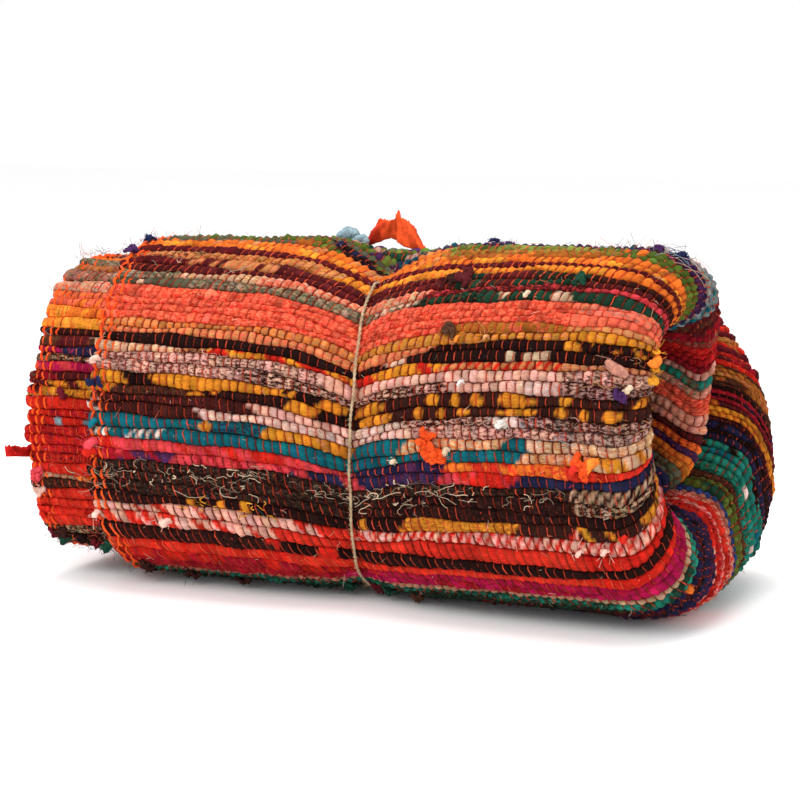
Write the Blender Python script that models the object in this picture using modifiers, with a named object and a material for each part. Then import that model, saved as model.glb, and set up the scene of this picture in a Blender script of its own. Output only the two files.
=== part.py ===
"""Rag rug, folded once across its width, rolled up along its length and tied round the middle.

The rug is a flat rag weave. Its width is folded over at the right end of the bundle (+X), so the roll
is wound from a double layer: an outer half that faces out, and an inner half that sticks out further
at the left end. The roll starts at the top of the back and winds down, under, up the front, over the
top and on into its core. At the fold the cloth loops from one half to the other, fat at the back and
underneath and tight at the front. A thin twine ring draws the bundle in.

Metres, +Z up, +X along the bundle. The front of the bundle looks along -Y. The origin is on the
ground, under the middle of the bundle.
"""

import math

import bmesh
import bpy
import numpy as np

# Driving dimensions of the rug
RUG_LENGTH = 1.80  # along the warps, which is rolled up
CLOTH = 0.0085  # thickness of the rag weave
HALVES_APART = 0.0165  # from the middle of the outer half to the middle of the inner half

# Driving dimensions of the roll
ROLL_START = 130.0  # turn, in degrees, at which the outer end of the rug lies
FRONT = 360.0  # turn of the middle of the front, where the rows of both halves line up
SLIP_FROM, SLIP_TO, SLIP_EASE = 220.0, 430.0, 100.0  # turns between which the halves slip past each other
NEAR = 3.0  # half the stretch of turn over which the roll's direction is read
BOXY = 0.80  # under 1, this squares the roll's round section a little
HEIGHT = 0.311
SLUMP = 0.036  # how far the bundle's waist has sunk under its own weight
FOLD_BLEND = 0.19  # length over which the loops at the fold die away into the plain roll

# The tie
TIE_X = -0.001
TWINE = 0.0032  # diameter
SEAT = 0.0008  # left between the twine and the cloth that it presses on
PINCH_Y, PINCH_Z = 0.15, 0.095  # how far the tie draws the bundle in, as shares of its size
PULL_FROM, PULL_TO = 0.025, -0.015  # Y between which the tie starts to draw the height in
PINCH_WIDTH, PINCH_ROUND = 0.032, 0.006
LIFT = TWINE + 2 * SEAT  # how far the cloth stands off the ground at the tie
LIFT_WIDTH = 0.022
DRAG = 0.012  # how far the tie drags the rows down the front
DRAG_TURN = 70.0  # degrees of turn either way from FRONT over which that dies away

# Two rag ends that stand out of the weave, with a row for each section along the rag: its X and Y, the Z
# of its lower and its upper edge, and how far its middle bulges towards the front
RAG = 0.0015  # thickness of the rag itself
TOP_END = (
    # x, y, low, high, bulge
    (-0.0480, 0.0300, 0.2901, 0.2940, 0.0000),
    (-0.0425, 0.0310, 0.2952, 0.3075, 0.0015),
    (-0.0340, 0.0330, 0.3010, 0.3205, 0.0030),
    (-0.0260, 0.0350, 0.3030, 0.3235, 0.0020),
    (-0.0160, 0.0340, 0.3020, 0.3250, -0.0010),
    (-0.0100, 0.0320, 0.3005, 0.3335, -0.0020),
    (-0.0050, 0.0320, 0.2990, 0.3250, 0.0010),
    (0.0010, 0.0330, 0.2975, 0.3200, 0.0030),
    (0.0070, 0.0320, 0.2950, 0.3090, 0.0020),
    (0.0140, 0.0300, 0.2920, 0.2975, 0.0000),
)
SIDE_END = (
    # x, y, low, high, bulge
    (-0.3096, -0.1192, 0.1135, 0.1225, 0.0000),
    (-0.3110, -0.1275, 0.1150, 0.1245, 0.0008),
    (-0.3160, -0.1375, 0.1170, 0.1265, 0.0012),
    (-0.3215, -0.1450, 0.1180, 0.1280, 0.0000),
)

# The rug's mesh: its rows, and its columns in each half, as shares of the way from the selvedge to the
# tie, from the tie to where the fold starts, and from there to the fold's tip
ROWS = 78
LEFT_STEPS = (0.0, 0.35, 0.62, 0.80, 0.90, 0.96)
RIGHT_STEPS = (0.0, 0.06, 0.16, 0.30, 0.45, 0.60, 0.75, 0.88)
LOOP_STEPS = (0.0, 0.25, 0.50, 0.75)

# Stops of the roll, one for each quarter turn from the outer end of the rug inwards. The turn is in
# degrees: 180 is the back, 270 underneath, 360 the front, 450 the top, and so on round. A stop is a Y
# at the back and front and a Z underneath and at the top, for the middle of the cloth's thickness.
# body: the outer half along the roll. loop_out, loop_in: the two halves beside the fold.
STOPS = (
    # turn, body, loop_out, loop_in
    (0, -0.050, -0.020, -0.010),
    (90, 0.312, 0.300, 0.280),
    (180, 0.125, 0.138, 0.045),
    (270, 0.0035, 0.0035, 0.127),
    (360, -0.135, -0.140, -0.100),
    (450, 0.303, 0.310, 0.266),
    (540, 0.080, 0.016, -0.002),
    (630, 0.052, 0.137, 0.157),
    (720, -0.099, -0.089, -0.073),
    (810, 0.267, 0.252, 0.236),
    (900, 0.048, -0.012, -0.028),
    (990, 0.094, 0.170, 0.186),
    (1080, -0.063, -0.068, -0.055),
)

# The ends of the roll. reach: the X that the fold reaches. bulge: how long its round end is, along X.
# edge_out, edge_in: the X of the two selvedges, at the left end.
ENDS = (
    # turn, reach, bulge, edge_out, edge_in
    (90, 0.208, 0.014, -0.235, -0.300),
    (135, 0.262, 0.032, -0.235, -0.300),
    (180, 0.318, 0.050, -0.235, -0.300),
    (225, 0.320, 0.055, -0.230, -0.298),
    (270, 0.304, 0.055, -0.224, -0.292),
    (315, 0.288, 0.050, -0.232, -0.302),
    (360, 0.252, 0.026, -0.243, -0.310),
    (405, 0.250, 0.034, -0.240, -0.303),
    (450, 0.286, 0.052, -0.235, -0.290),
    (495, 0.284, 0.026, -0.236, -0.296),
    (540, 0.276, 0.010, -0.238, -0.300),
    (585, 0.268, 0.009, -0.238, -0.300),
    (630, 0.240, 0.009, -0.238, -0.300),
    (720, 0.190, 0.009, -0.240, -0.304),
    (1080, 0.190, 0.009, -0.240, -0.300),
)
EASE = 28.0  # degrees of turn over which a row of ENDS eases into the next


def smooth(t):
    t = np.clip(t, 0.0, 1.0)
    return t * t * (3.0 - 2.0 * t)


def swing(turn, first, stops):
    """A coordinate that swings from one stop to the next over each half turn."""
    step = (turn - first) / 180.0
    index = np.clip(np.floor(step).astype(int), 0, len(stops) - 2)
    wave = np.cos(math.pi * (step - index))
    wave = np.sign(wave) * np.abs(wave) ** BOXY
    here, after = stops[index], stops[index + 1]
    return (here + after) / 2 + (here - after) / 2 * wave


def section(turn, column):
    """Y and Z at a turn of the roll."""
    stops = np.array([row[column] for row in STOPS])
    z = swing(turn, 90.0, stops[1::2])
    return swing(turn, 0.0, stops[0::2]), z - SLUMP * np.sin(math.pi * z / HEIGHT)


def inner_section(turn):
    """Y and Z at a turn of the inner half, which keeps its distance inside the outer half."""
    y, z = section(turn, 1)
    before, after = section(turn - NEAR, 1), section(turn + NEAR, 1)
    ahead_y, ahead_z = after[0] - before[0], after[1] - before[1]
    step = np.hypot(ahead_y, ahead_z)
    return y + HALVES_APART * ahead_z / step, z - HALVES_APART * ahead_y / step


TURNS = np.linspace(0.0, 1080.0, 6001)


def eased(column):
    """A column of ENDS for each of TURNS, with its corners rounded off."""
    straight = np.interp(TURNS, [row[0] for row in ENDS], [row[column] for row in ENDS])
    half = int(EASE / (TURNS[1] - TURNS[0]))
    window = np.hanning(2 * half + 1)
    return np.convolve(np.pad(straight, half, mode="edge"), window / window.sum(), mode="valid")


REACH, BULGE, EDGE_OUT, EDGE_IN = (eased(column) for column in (1, 2, 3, 4))


def along_turn(turn, values):
    return np.interp(turn, TURNS, values)


def wound_length(y, z):
    """The length of cloth wound up to each of TURNS, counted from the middle of the front."""
    length = np.concatenate([[0.0], np.cumsum(np.hypot(np.diff(y), np.diff(z)))])
    return length - np.interp(FRONT, TURNS, length)


# The inner half has less way to go round the roll than the outer half. Round the front its rows slip past
# those of the outer half, and further on both ways they come to lie abreast again.
ABREAST = smooth(np.maximum(SLIP_FROM - TURNS, TURNS - SLIP_TO) / SLIP_EASE)
WOUND_OUT, WOUND_IN = wound_length(*section(TURNS, 1)), wound_length(*inner_section(TURNS))
WOUND_IN += (WOUND_OUT - WOUND_IN) * ABREAST
START_LENGTH = float(np.interp(ROLL_START, TURNS, WOUND_OUT))


def pinch(x):
    """How much of the tie's pull is felt at x, from 1 at the tie to 0 far from it."""
    away = np.sqrt((x - TIE_X) ** 2 + PINCH_ROUND**2) - PINCH_ROUND
    return np.exp(-away / PINCH_WIDTH)


def lift(x):
    return LIFT * np.exp(-(((x - TIE_X) / LIFT_WIDTH) ** 2))


def row_turns(along):
    """The turns of the roll at which each row lies, in the outer and in the inner half."""
    length = along + START_LENGTH
    return np.interp(length, WOUND_OUT, TURNS), np.interp(length, WOUND_IN, TURNS)


def row_loop(along):
    """The loop of each row at the fold, which is half an ellipse: its middle, half its chord from the
    inner half to the outer half, how far it bulges, the X where it starts and the length of cloth in
    a quarter turn of it."""
    turn_out, turn_in = row_turns(along)
    out_y, out_z = section(turn_out, 2)
    in_y, in_z = section(turn_in, 3)
    half_y, half_z = (out_y - in_y) / 2, (out_z - in_z) / 2
    bulge = along_turn(turn_out, BULGE)
    quarter = 0.5 * math.pi * np.sqrt((bulge**2 + half_y**2 + half_z**2) / 2)
    start_x = along_turn(turn_out, REACH) - bulge
    return (out_y + in_y) / 2, (out_z + in_z) / 2, half_y, half_z, bulge, start_x, quarter


def run_at(half, place, along):
    """The length of cloth from the fold. place runs from 0 at the selvedge over 1 at the tie and 2
    where the fold starts to 3 at the fold's tip."""
    turn_out, turn_in = row_turns(along)
    *_, start_x, quarter = row_loop(along)
    edge_x = np.where(half > 0, along_turn(turn_out, EDGE_OUT), along_turn(turn_in, EDGE_IN))
    x = np.where(place < 1, edge_x + (TIE_X - edge_x) * place, TIE_X + (start_x - TIE_X) * (place - 1))
    return np.where(place < 2, quarter + start_x - x, quarter * (3 - place))


def rug_point(half, run, along):
    """The middle of the cloth. half is 1 in the outer half and -1 in the inner half, run is the length
    of cloth from the fold and along is the length from the outer end of the rug."""
    middle_y, middle_z, half_y, half_z, bulge, start_x, quarter = row_loop(along)
    angle = np.clip(run / quarter, 0.0, 1.0) * math.pi / 2
    past_loop = np.maximum(run - quarter, 0.0)
    x = start_x + bulge * np.cos(angle) - past_loop
    loop_y = middle_y + half * half_y * np.sin(angle)
    loop_z = middle_z + half * half_z * np.sin(angle)
    # Away from the fold each half lies on the plain roll, drawn in by the tie.
    pull = pinch(x)
    outer = half > 0
    down_front = np.exp(-(((np.where(outer, *row_turns(along)) - FRONT) / DRAG_TURN) ** 2))
    dragged = along - DRAG * pull * down_front
    turn_out, turn_in = row_turns(dragged)
    outer_body, inner_body = section(turn_out, 1), inner_section(turn_in)
    blend = smooth(past_loop / FOLD_BLEND)
    y = loop_y + (np.where(outer, outer_body[0], inner_body[0]) - loop_y) * blend
    z = loop_z + (np.where(outer, outer_body[1], inner_body[1]) - loop_z) * blend
    draw_down = PINCH_Z * smooth((y - PULL_FROM) / (PULL_TO - PULL_FROM))
    y = y * (1.0 - PINCH_Y * pull)
    z = CLOTH / 2 + (z - CLOTH / 2) * (1.0 - draw_down * pull)
    z = np.maximum(z, CLOTH / 2) + lift(x)
    return np.stack([x, y, z], axis=-1)


def add_piece(name, data, colour, roughness):
    """An object with its own material, in the part's collection."""
    material = bpy.data.materials.new(name)
    material.use_nodes = True
    shader = material.node_tree.nodes["Principled BSDF"]
    shader.inputs["Base Color"].default_value = (*colour, 1.0)
    shader.inputs["Roughness"].default_value = roughness
    shader.inputs["Metallic"].default_value = 0.0
    data.materials.append(material)
    piece = bpy.data.objects.new(name, data)
    COLLECTION.objects.link(piece)
    return piece


def make_solid(piece, thickness):
    shell = piece.modifiers.new("Thickness", "SOLIDIFY")
    shell.thickness = thickness
    shell.offset = 0.0
    shell.use_even_offset = True


def grid_mesh(name, columns, rows, place_points):
    """A smooth grid whose points are moved to where place_points puts them."""
    grid = bmesh.new()
    bmesh.ops.create_grid(grid, x_segments=columns - 1, y_segments=rows - 1, size=1.0)
    flat = np.array([vert.co for vert in grid.verts])
    column = np.rint((flat[:, 0] + 1) / 2 * (columns - 1)).astype(int)
    row = np.rint((flat[:, 1] + 1) / 2 * (rows - 1)).astype(int)
    for vert, point in zip(grid.verts, place_points(column, row)):
        vert.co = point
    mesh = bpy.data.meshes.new(name)
    grid.to_mesh(mesh)
    grid.free()
    mesh.shade_smooth()
    return mesh


def build_rug():
    sections = (LEFT_STEPS, RIGHT_STEPS, LOOP_STEPS)
    one_half = [number + step for number, steps in enumerate(sections) for step in steps]
    places = np.array(one_half + [3.0] + one_half[::-1])
    halves = np.where(np.arange(len(places)) <= len(one_half), 1.0, -1.0)

    def place_points(column, row):
        half, along = halves[column], row * RUG_LENGTH / (ROWS - 1)
        return rug_point(half, run_at(half, places[column], along), along)

    rug = add_piece("rug", grid_mesh("rug", len(places), ROWS, place_points), (0.42, 0.13, 0.11), 0.95)
    make_solid(rug, CLOTH)


def turns_right(first, second, third):
    return (second[0] - first[0]) * (third[1] - first[1]) <= (second[1] - first[1]) * (third[0] - first[0])


def hull(points):
    """The convex outline round points in a plane, anticlockwise."""
    points = sorted(set(points))

    def chain(run):
        line = []
        for point in run:
            while len(line) > 1 and turns_right(line[-2], line[-1], point):
                line.pop()
            line.append(point)
        return line[:-1]

    return np.array(chain(points) + chain(points[::-1]))


def build_tie():
    """A twine ring, stretched round the cloth where it is drawn in."""
    along = np.arange(ROWS) * RUG_LENGTH / (ROWS - 1)
    place, half = np.ones(ROWS), np.ones(ROWS)
    cloth = rug_point(half, run_at(half, place, along), along)
    outline = hull([(float(y), float(z)) for _, y, z in cloth])
    ahead = np.roll(outline, -1, axis=0) - outline
    out = np.stack([ahead[:, 1], -ahead[:, 0]], axis=1) / np.linalg.norm(ahead, axis=1)[:, None]
    corner = out + np.roll(out, 1, axis=0)
    corner /= np.sum(corner * out, axis=1)[:, None]
    centre = outline + corner * (CLOTH / 2 + SEAT + TWINE / 2)
    curve = bpy.data.curves.new("tie", "CURVE")
    curve.dimensions = "3D"
    curve.bevel_depth = TWINE / 2
    curve.bevel_resolution = 2
    ring = curve.splines.new("POLY")
    ring.points.add(len(centre) - 1)
    for point, (y, z) in zip(ring.points, centre):
        point.co = (TIE_X, y, z, 1.0)
    ring.use_cyclic_u = True
    ring.use_smooth = True
    add_piece("tie", curve, (0.55, 0.42, 0.28), 0.9)


def build_rag_end(name, sections, colour):
    """A thin rag end: three points across it in each section."""
    x, y, low, high, bulge = np.array(sections).T

    def place_points(column, row):
        z = low[row] + (high - low)[row] * column / 2
        return np.stack([x[row], y[row] - bulge[row] * (column == 1), z], axis=-1)

    make_solid(add_piece(name, grid_mesh(name, 3, len(sections), place_points), colour, 0.9), RAG)


for leftover in list(bpy.data.objects):
    bpy.data.objects.remove(leftover)
COLLECTION = bpy.data.collections.new("rag_rug")
bpy.context.scene.collection.children.link(COLLECTION)
build_rug()
build_tie()
build_rag_end("rag_end_top", TOP_END, (0.75, 0.10, 0.02))
build_rag_end("rag_end_side", SIDE_END, (0.50, 0.02, 0.03))
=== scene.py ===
"""Looks of the rag rug: every rag, warp, selvedge, loose end and the twine, as the photograph shows them.

The rug is woven from about 180 rags. Each rag is one lumpy tube that runs from selvedge to selvedge,
round the fold, and rides on the same rolled surface as the CAD solid. Thin orange warps cross it on one
face and then the other. The colours are a stripe chart, listed row by row.

Metres, +Z up, +X along the bundle; the front looks along -Y. A turn is in degrees round the roll.
"""

import math

import bpy
import numpy as np
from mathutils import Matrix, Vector


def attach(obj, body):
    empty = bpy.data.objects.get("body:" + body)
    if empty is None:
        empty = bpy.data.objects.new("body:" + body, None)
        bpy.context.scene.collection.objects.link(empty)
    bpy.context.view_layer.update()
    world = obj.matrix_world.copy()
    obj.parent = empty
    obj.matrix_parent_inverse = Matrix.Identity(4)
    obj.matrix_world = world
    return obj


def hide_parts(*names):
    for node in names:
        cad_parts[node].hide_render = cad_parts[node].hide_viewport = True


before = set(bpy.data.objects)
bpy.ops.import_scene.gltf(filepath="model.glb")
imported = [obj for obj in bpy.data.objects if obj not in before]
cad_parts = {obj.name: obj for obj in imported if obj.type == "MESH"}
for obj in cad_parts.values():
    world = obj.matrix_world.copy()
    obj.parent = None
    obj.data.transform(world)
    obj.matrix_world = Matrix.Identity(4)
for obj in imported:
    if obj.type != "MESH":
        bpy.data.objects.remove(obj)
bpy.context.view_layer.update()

# ---------------- The rolled surface, as in the CAD ----------------
RUG_LENGTH = 1.80  # along the warps, which is rolled up
CLOTH = 0.0085  # thickness of the rag weave
HALVES_APART = 0.0165  # from the middle of the outer half to the middle of the inner half
ROLL_START = 130.0  # turn at which the outer end of the rug lies
FRONT = 360.0  # turn of the middle of the front
SLIP_FROM, SLIP_TO, SLIP_EASE = 220.0, 430.0, 100.0  # turns between which the halves slip past each other
NEAR = 3.0  # half the stretch of turn over which the roll's direction is read
BOXY = 0.80  # under 1, this squares the roll's round section a little
HEIGHT = 0.311
SLUMP = 0.036  # how far the bundle's waist has sunk under its own weight
FOLD_BLEND = 0.19  # length over which the loops at the fold die away into the plain roll
TIE_X = -0.001
TWINE = 0.0032  # diameter
SEAT = 0.0008  # left between the twine and the cloth that it presses on
PINCH_Y, PINCH_Z = 0.15, 0.095  # how far the tie draws the bundle in, as shares of its size
PULL_FROM, PULL_TO = 0.025, -0.015  # Y between which the tie starts to draw the height in
PINCH_WIDTH, PINCH_ROUND = 0.032, 0.006
LIFT = TWINE + 2 * SEAT  # how far the cloth stands off the ground at the tie
LIFT_WIDTH = 0.022
DRAG = 0.012  # how far the tie drags the rows down the front
DRAG_TURN = 70.0  # turn either way from FRONT over which that dies away
# One stop for each quarter turn from the outer end inwards: a Y at the back and front and a Z underneath
# and at the top. body: the outer half along the roll. loop_out, loop_in: the two halves beside the fold.
STOPS = (
    # turn, body, loop_out, loop_in
    (0, -0.050, -0.020, -0.010),
    (90, 0.312, 0.300, 0.280),
    (180, 0.125, 0.138, 0.045),
    (270, 0.0035, 0.0035, 0.127),
    (360, -0.135, -0.140, -0.100),
    (450, 0.303, 0.310, 0.266),
    (540, 0.080, 0.016, -0.002),
    (630, 0.052, 0.137, 0.157),
    (720, -0.099, -0.089, -0.073),
    (810, 0.267, 0.252, 0.236),
    (900, 0.048, -0.012, -0.028),
    (990, 0.094, 0.170, 0.186),
    (1080, -0.063, -0.068, -0.055),
)
# The X that the fold reaches, how long its round end is along X, and the X of the two selvedges
ENDS = (
    # turn, reach, bulge, edge_out, edge_in
    (90, 0.208, 0.014, -0.235, -0.300),
    (135, 0.262, 0.032, -0.235, -0.300),
    (180, 0.318, 0.050, -0.235, -0.300),
    (225, 0.320, 0.055, -0.230, -0.298),
    (270, 0.304, 0.055, -0.224, -0.292),
    (315, 0.288, 0.050, -0.232, -0.302),
    (360, 0.252, 0.026, -0.243, -0.310),
    (405, 0.250, 0.034, -0.240, -0.303),
    (450, 0.286, 0.052, -0.235, -0.290),
    (495, 0.284, 0.026, -0.236, -0.296),
    (540, 0.276, 0.010, -0.238, -0.300),
    (585, 0.268, 0.009, -0.238, -0.300),
    (630, 0.240, 0.009, -0.238, -0.300),
    (720, 0.190, 0.009, -0.240, -0.304),
    (1080, 0.190, 0.009, -0.240, -0.300),
)
EASE = 28.0  # turn over which a row of ENDS eases into the next
# The soft rags stand up a little on top of the bundle, on both sides of the waist
LOFT = (
    # x, lift
    (-0.235, 0.0),
    (-0.205, 0.0045),
    (-0.130, 0.0055),
    (-0.100, 0.0080),
    (-0.075, 0.0115),
    (-0.050, 0.0110),
    (-0.030, 0.0055),
    (-0.012, 0.0),
    (0.012, 0.0),
    (0.030, 0.0050),
    (0.050, 0.0095),
    (0.085, 0.0090),
    (0.110, 0.0065),
    (0.140, 0.0045),
    (0.180, 0.0025),
    (0.250, 0.0),
)
LOFT_MIDDLE, LOFT_WIDTH = 0.832, 0.042  # along the rug


def smooth(t):
    t = np.clip(t, 0.0, 1.0)
    return t * t * (3.0 - 2.0 * t)


def swing(turn, first, stops):
    """A coordinate that swings from one stop to the next over each half turn."""
    step = (turn - first) / 180.0
    index = np.clip(np.floor(step).astype(int), 0, len(stops) - 2)
    wave = np.cos(math.pi * (step - index))
    wave = np.sign(wave) * np.abs(wave) ** BOXY
    here, after = stops[index], stops[index + 1]
    return (here + after) / 2 + (here - after) / 2 * wave


def section(turn, column):
    stops = np.array([row[column] for row in STOPS])
    z = swing(turn, 90.0, stops[1::2])
    return swing(turn, 0.0, stops[0::2]), z - SLUMP * np.sin(math.pi * z / HEIGHT)


def inner_section(turn):
    y, z = section(turn, 1)
    before, after = section(turn - NEAR, 1), section(turn + NEAR, 1)
    ahead_y, ahead_z = after[0] - before[0], after[1] - before[1]
    step = np.hypot(ahead_y, ahead_z)
    return y + HALVES_APART * ahead_z / step, z - HALVES_APART * ahead_y / step


TURNS = np.linspace(0.0, 1080.0, 6001)


def eased(column):
    straight = np.interp(TURNS, [row[0] for row in ENDS], [row[column] for row in ENDS])
    half = int(EASE / (TURNS[1] - TURNS[0]))
    window = np.hanning(2 * half + 1)
    return np.convolve(np.pad(straight, half, mode="edge"), window / window.sum(), mode="valid")


REACH, BULGE, EDGE_OUT, EDGE_IN = (eased(column) for column in (1, 2, 3, 4))


def along_turn(turn, values):
    return np.interp(turn, TURNS, values)


def wound_length(y, z):
    length = np.concatenate([[0.0], np.cumsum(np.hypot(np.diff(y), np.diff(z)))])
    return length - np.interp(FRONT, TURNS, length)


ABREAST = smooth(np.maximum(SLIP_FROM - TURNS, TURNS - SLIP_TO) / SLIP_EASE)
WOUND_OUT, WOUND_IN = wound_length(*section(TURNS, 1)), wound_length(*inner_section(TURNS))
WOUND_IN += (WOUND_OUT - WOUND_IN) * ABREAST
START_LENGTH = float(np.interp(ROLL_START, TURNS, WOUND_OUT))


def pinch(x):
    away = np.sqrt((x - TIE_X) ** 2 + PINCH_ROUND**2) - PINCH_ROUND
    return np.exp(-away / PINCH_WIDTH)


def row_turns(along):
    length = along + START_LENGTH
    return np.interp(length, WOUND_OUT, TURNS), np.interp(length, WOUND_IN, TURNS)


def row_loop(along):
    turn_out, turn_in = row_turns(along)
    out_y, out_z = section(turn_out, 2)
    in_y, in_z = section(turn_in, 3)
    half_y, half_z = (out_y - in_y) / 2, (out_z - in_z) / 2
    bulge = along_turn(turn_out, BULGE)
    quarter = 0.5 * math.pi * np.sqrt((bulge**2 + half_y**2 + half_z**2) / 2)
    start_x = along_turn(turn_out, REACH) - bulge
    return (out_y + in_y) / 2, (out_z + in_z) / 2, half_y, half_z, bulge, start_x, quarter


def cloth_at(k, along):
    """The middle of the cloth. k is the length of cloth from the fold's tip, above 0 in the outer half
    and below 0 in the inner half; along is the length from the outer end of the rug."""
    half, run = np.where(k >= 0, 1.0, -1.0), np.abs(k)
    middle_y, middle_z, half_y, half_z, bulge, start_x, quarter = row_loop(along)
    angle = np.clip(run / quarter, 0.0, 1.0) * math.pi / 2
    past_loop = np.maximum(run - quarter, 0.0)
    x = start_x + bulge * np.cos(angle) - past_loop
    loop_y = middle_y + half * half_y * np.sin(angle)
    loop_z = middle_z + half * half_z * np.sin(angle)
    pull = pinch(x)
    outer = half > 0
    down_front = np.exp(-(((np.where(outer, *row_turns(along)) - FRONT) / DRAG_TURN) ** 2))
    turn_out, turn_in = row_turns(along - DRAG * pull * down_front)
    outer_body, inner_body = section(turn_out, 1), inner_section(turn_in)
    blend = smooth(past_loop / FOLD_BLEND)
    y = loop_y + (np.where(outer, outer_body[0], inner_body[0]) - loop_y) * blend
    z = loop_z + (np.where(outer, outer_body[1], inner_body[1]) - loop_z) * blend
    draw_down = PINCH_Z * smooth((y - PULL_FROM) / (PULL_TO - PULL_FROM))
    y = y * (1.0 - PINCH_Y * pull)
    z = CLOTH / 2 + (z - CLOTH / 2) * (1.0 - draw_down * pull)
    z = np.maximum(z, CLOTH / 2) + LIFT * np.exp(-(((x - TIE_X) / LIFT_WIDTH) ** 2))
    z += outer * np.interp(x, *zip(*LOFT)) * np.exp(-(((along - LOFT_MIDDLE) / LOFT_WIDTH) ** 2))
    return np.stack([x, y, z], axis=-1)


def unit(v):
    return v / np.maximum(np.linalg.norm(v, axis=-1, keepdims=True), 1e-12)


def cloth_frame(k, along, step=0.0015):
    """The cloth's middle, its direction along the rags (+k), along the warps, and face A's normal."""
    here = cloth_at(k, along)
    across = unit(cloth_at(k + step, along) - cloth_at(k - step, along))
    up = cloth_at(k, along + step) - cloth_at(k, along - step)
    normal = unit(np.cross(up, across))
    return here, across, np.cross(across, normal), normal


def k_at(half, x, along):
    """k of the place at x, in the outer or inner half."""
    *_, start_x, quarter = row_loop(along)
    return half * (quarter + start_x - x)


# ---------------- The stripe chart ----------------
PALETTE = {
    "black": (0.017, 0.0070, 0.0065),
    "soot": (0.041, 0.0140, 0.0110),
    "navy": (0.016, 0.020, 0.065),
    "purple": (0.065, 0.022, 0.090),
    "maroon": (0.100, 0.015, 0.018),
    "wine": (0.130, 0.010, 0.018),
    "brown": (0.095, 0.040, 0.022),
    "red": (0.640, 0.022, 0.013),
    "scarlet": (0.710, 0.036, 0.020),
    "crimson": (0.380, 0.010, 0.026),
    "magenta": (0.450, 0.010, 0.090),
    "rose": (0.680, 0.060, 0.080),
    "flame": (0.820, 0.085, 0.016),
    "coral": (0.980, 0.195, 0.105),
    "orange": (0.940, 0.235, 0.032),
    "amber": (0.970, 0.410, 0.042),
    "mustard": (0.720, 0.300, 0.026),
    "ochre": (0.430, 0.160, 0.024),
    "tan": (0.660, 0.290, 0.110),
    "cream": (0.740, 0.560, 0.380),
    "beige": (0.460, 0.340, 0.220),
    "blush": (0.820, 0.500, 0.410),
    "white": (0.800, 0.740, 0.680),
    "lilac": (0.560, 0.370, 0.320),
    "shell": (0.900, 0.330, 0.220),
    "dusty": (0.500, 0.215, 0.155),
    "teal": (0.006, 0.150, 0.200),
    "sea": (0.018, 0.260, 0.195),
    "green": (0.110, 0.190, 0.030),
    "leaf": (0.220, 0.320, 0.060),
    "bottle": (0.014, 0.060, 0.036),
    "moss": (0.110, 0.130, 0.080),
    "blue": (0.030, 0.090, 0.330),
    "sky": (0.240, 0.340, 0.380),
}
DYE = np.array((1.04, 0.885, 0.83))  # the whole rug is a little warmer than its dyes
# Each row of rag: where its upper edge lies, in metres from the rug's outer end. A spec holds a rag's parts,
# each "colour" or "colour/colour:pattern" (flecks unless another is named), and "@x" where it gives way to
# the next one along the bundle.
UNDER = (
    # edge, colours
    (0.012, "maroon"),
    (0.022, "ochre/brown:patches"),
    (0.032, "wine"),
    (0.041, "red/wine:patches"),
    (0.050, "wine/maroon"),
    (0.059, "ochre/tan"),
    (0.068, "red/ochre:patches"),
    (0.077, "wine"),
    (0.087, "red/wine"),
    (0.097, "maroon/crimson:patches"),
    (0.107, "red/ochre:patches"),
    (0.1155, "brown/ochre:patches"),
    (0.124, "ochre"),
    (0.1335, "ochre/tan"),
    (0.143, "ochre/brown:patches"),
    (0.152, "soot/brown"),
    (0.1605, "black"),
    (0.167, "crimson/purple:patches"),
    (0.1745, "black/navy:patches"),
    (0.1815, "crimson/wine"),
    (0.1895, "maroon/orange:spots"),
    (0.199, "mustard/ochre:patches"),
    (0.2085, "mustard/orange"),
    (0.218, "black/maroon"),
    (0.2275, "navy/black:patches"),
    (0.237, "black"),
    (0.247, "navy/black"),
    (0.2565, "sea/black:patches"),
    (0.267, "sea/teal:patches"),
    (0.2775, "sea/white:spots"),
    (0.288, "sea/bottle"),
    (0.2960, "brown/soot"),
    (0.305, "green/brown"),
    (0.316, "green/bottle:patches"),
    (0.326, "blue/navy"),
    (0.332, "dusty"),
    (0.343, "red/blush"),
    (0.354, "red/scarlet:patches"),
    (0.365, "rose/blush"),
    (0.376, "red/wine"),
    (0.387, "red/blush:patches"),
    (0.398, "navy/purple"),
    (0.409, "purple/soot"),
    (0.420, "navy/black:patches"),
    (0.431, "black/navy"),
    (0.441, "maroon/black"),
)
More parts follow.
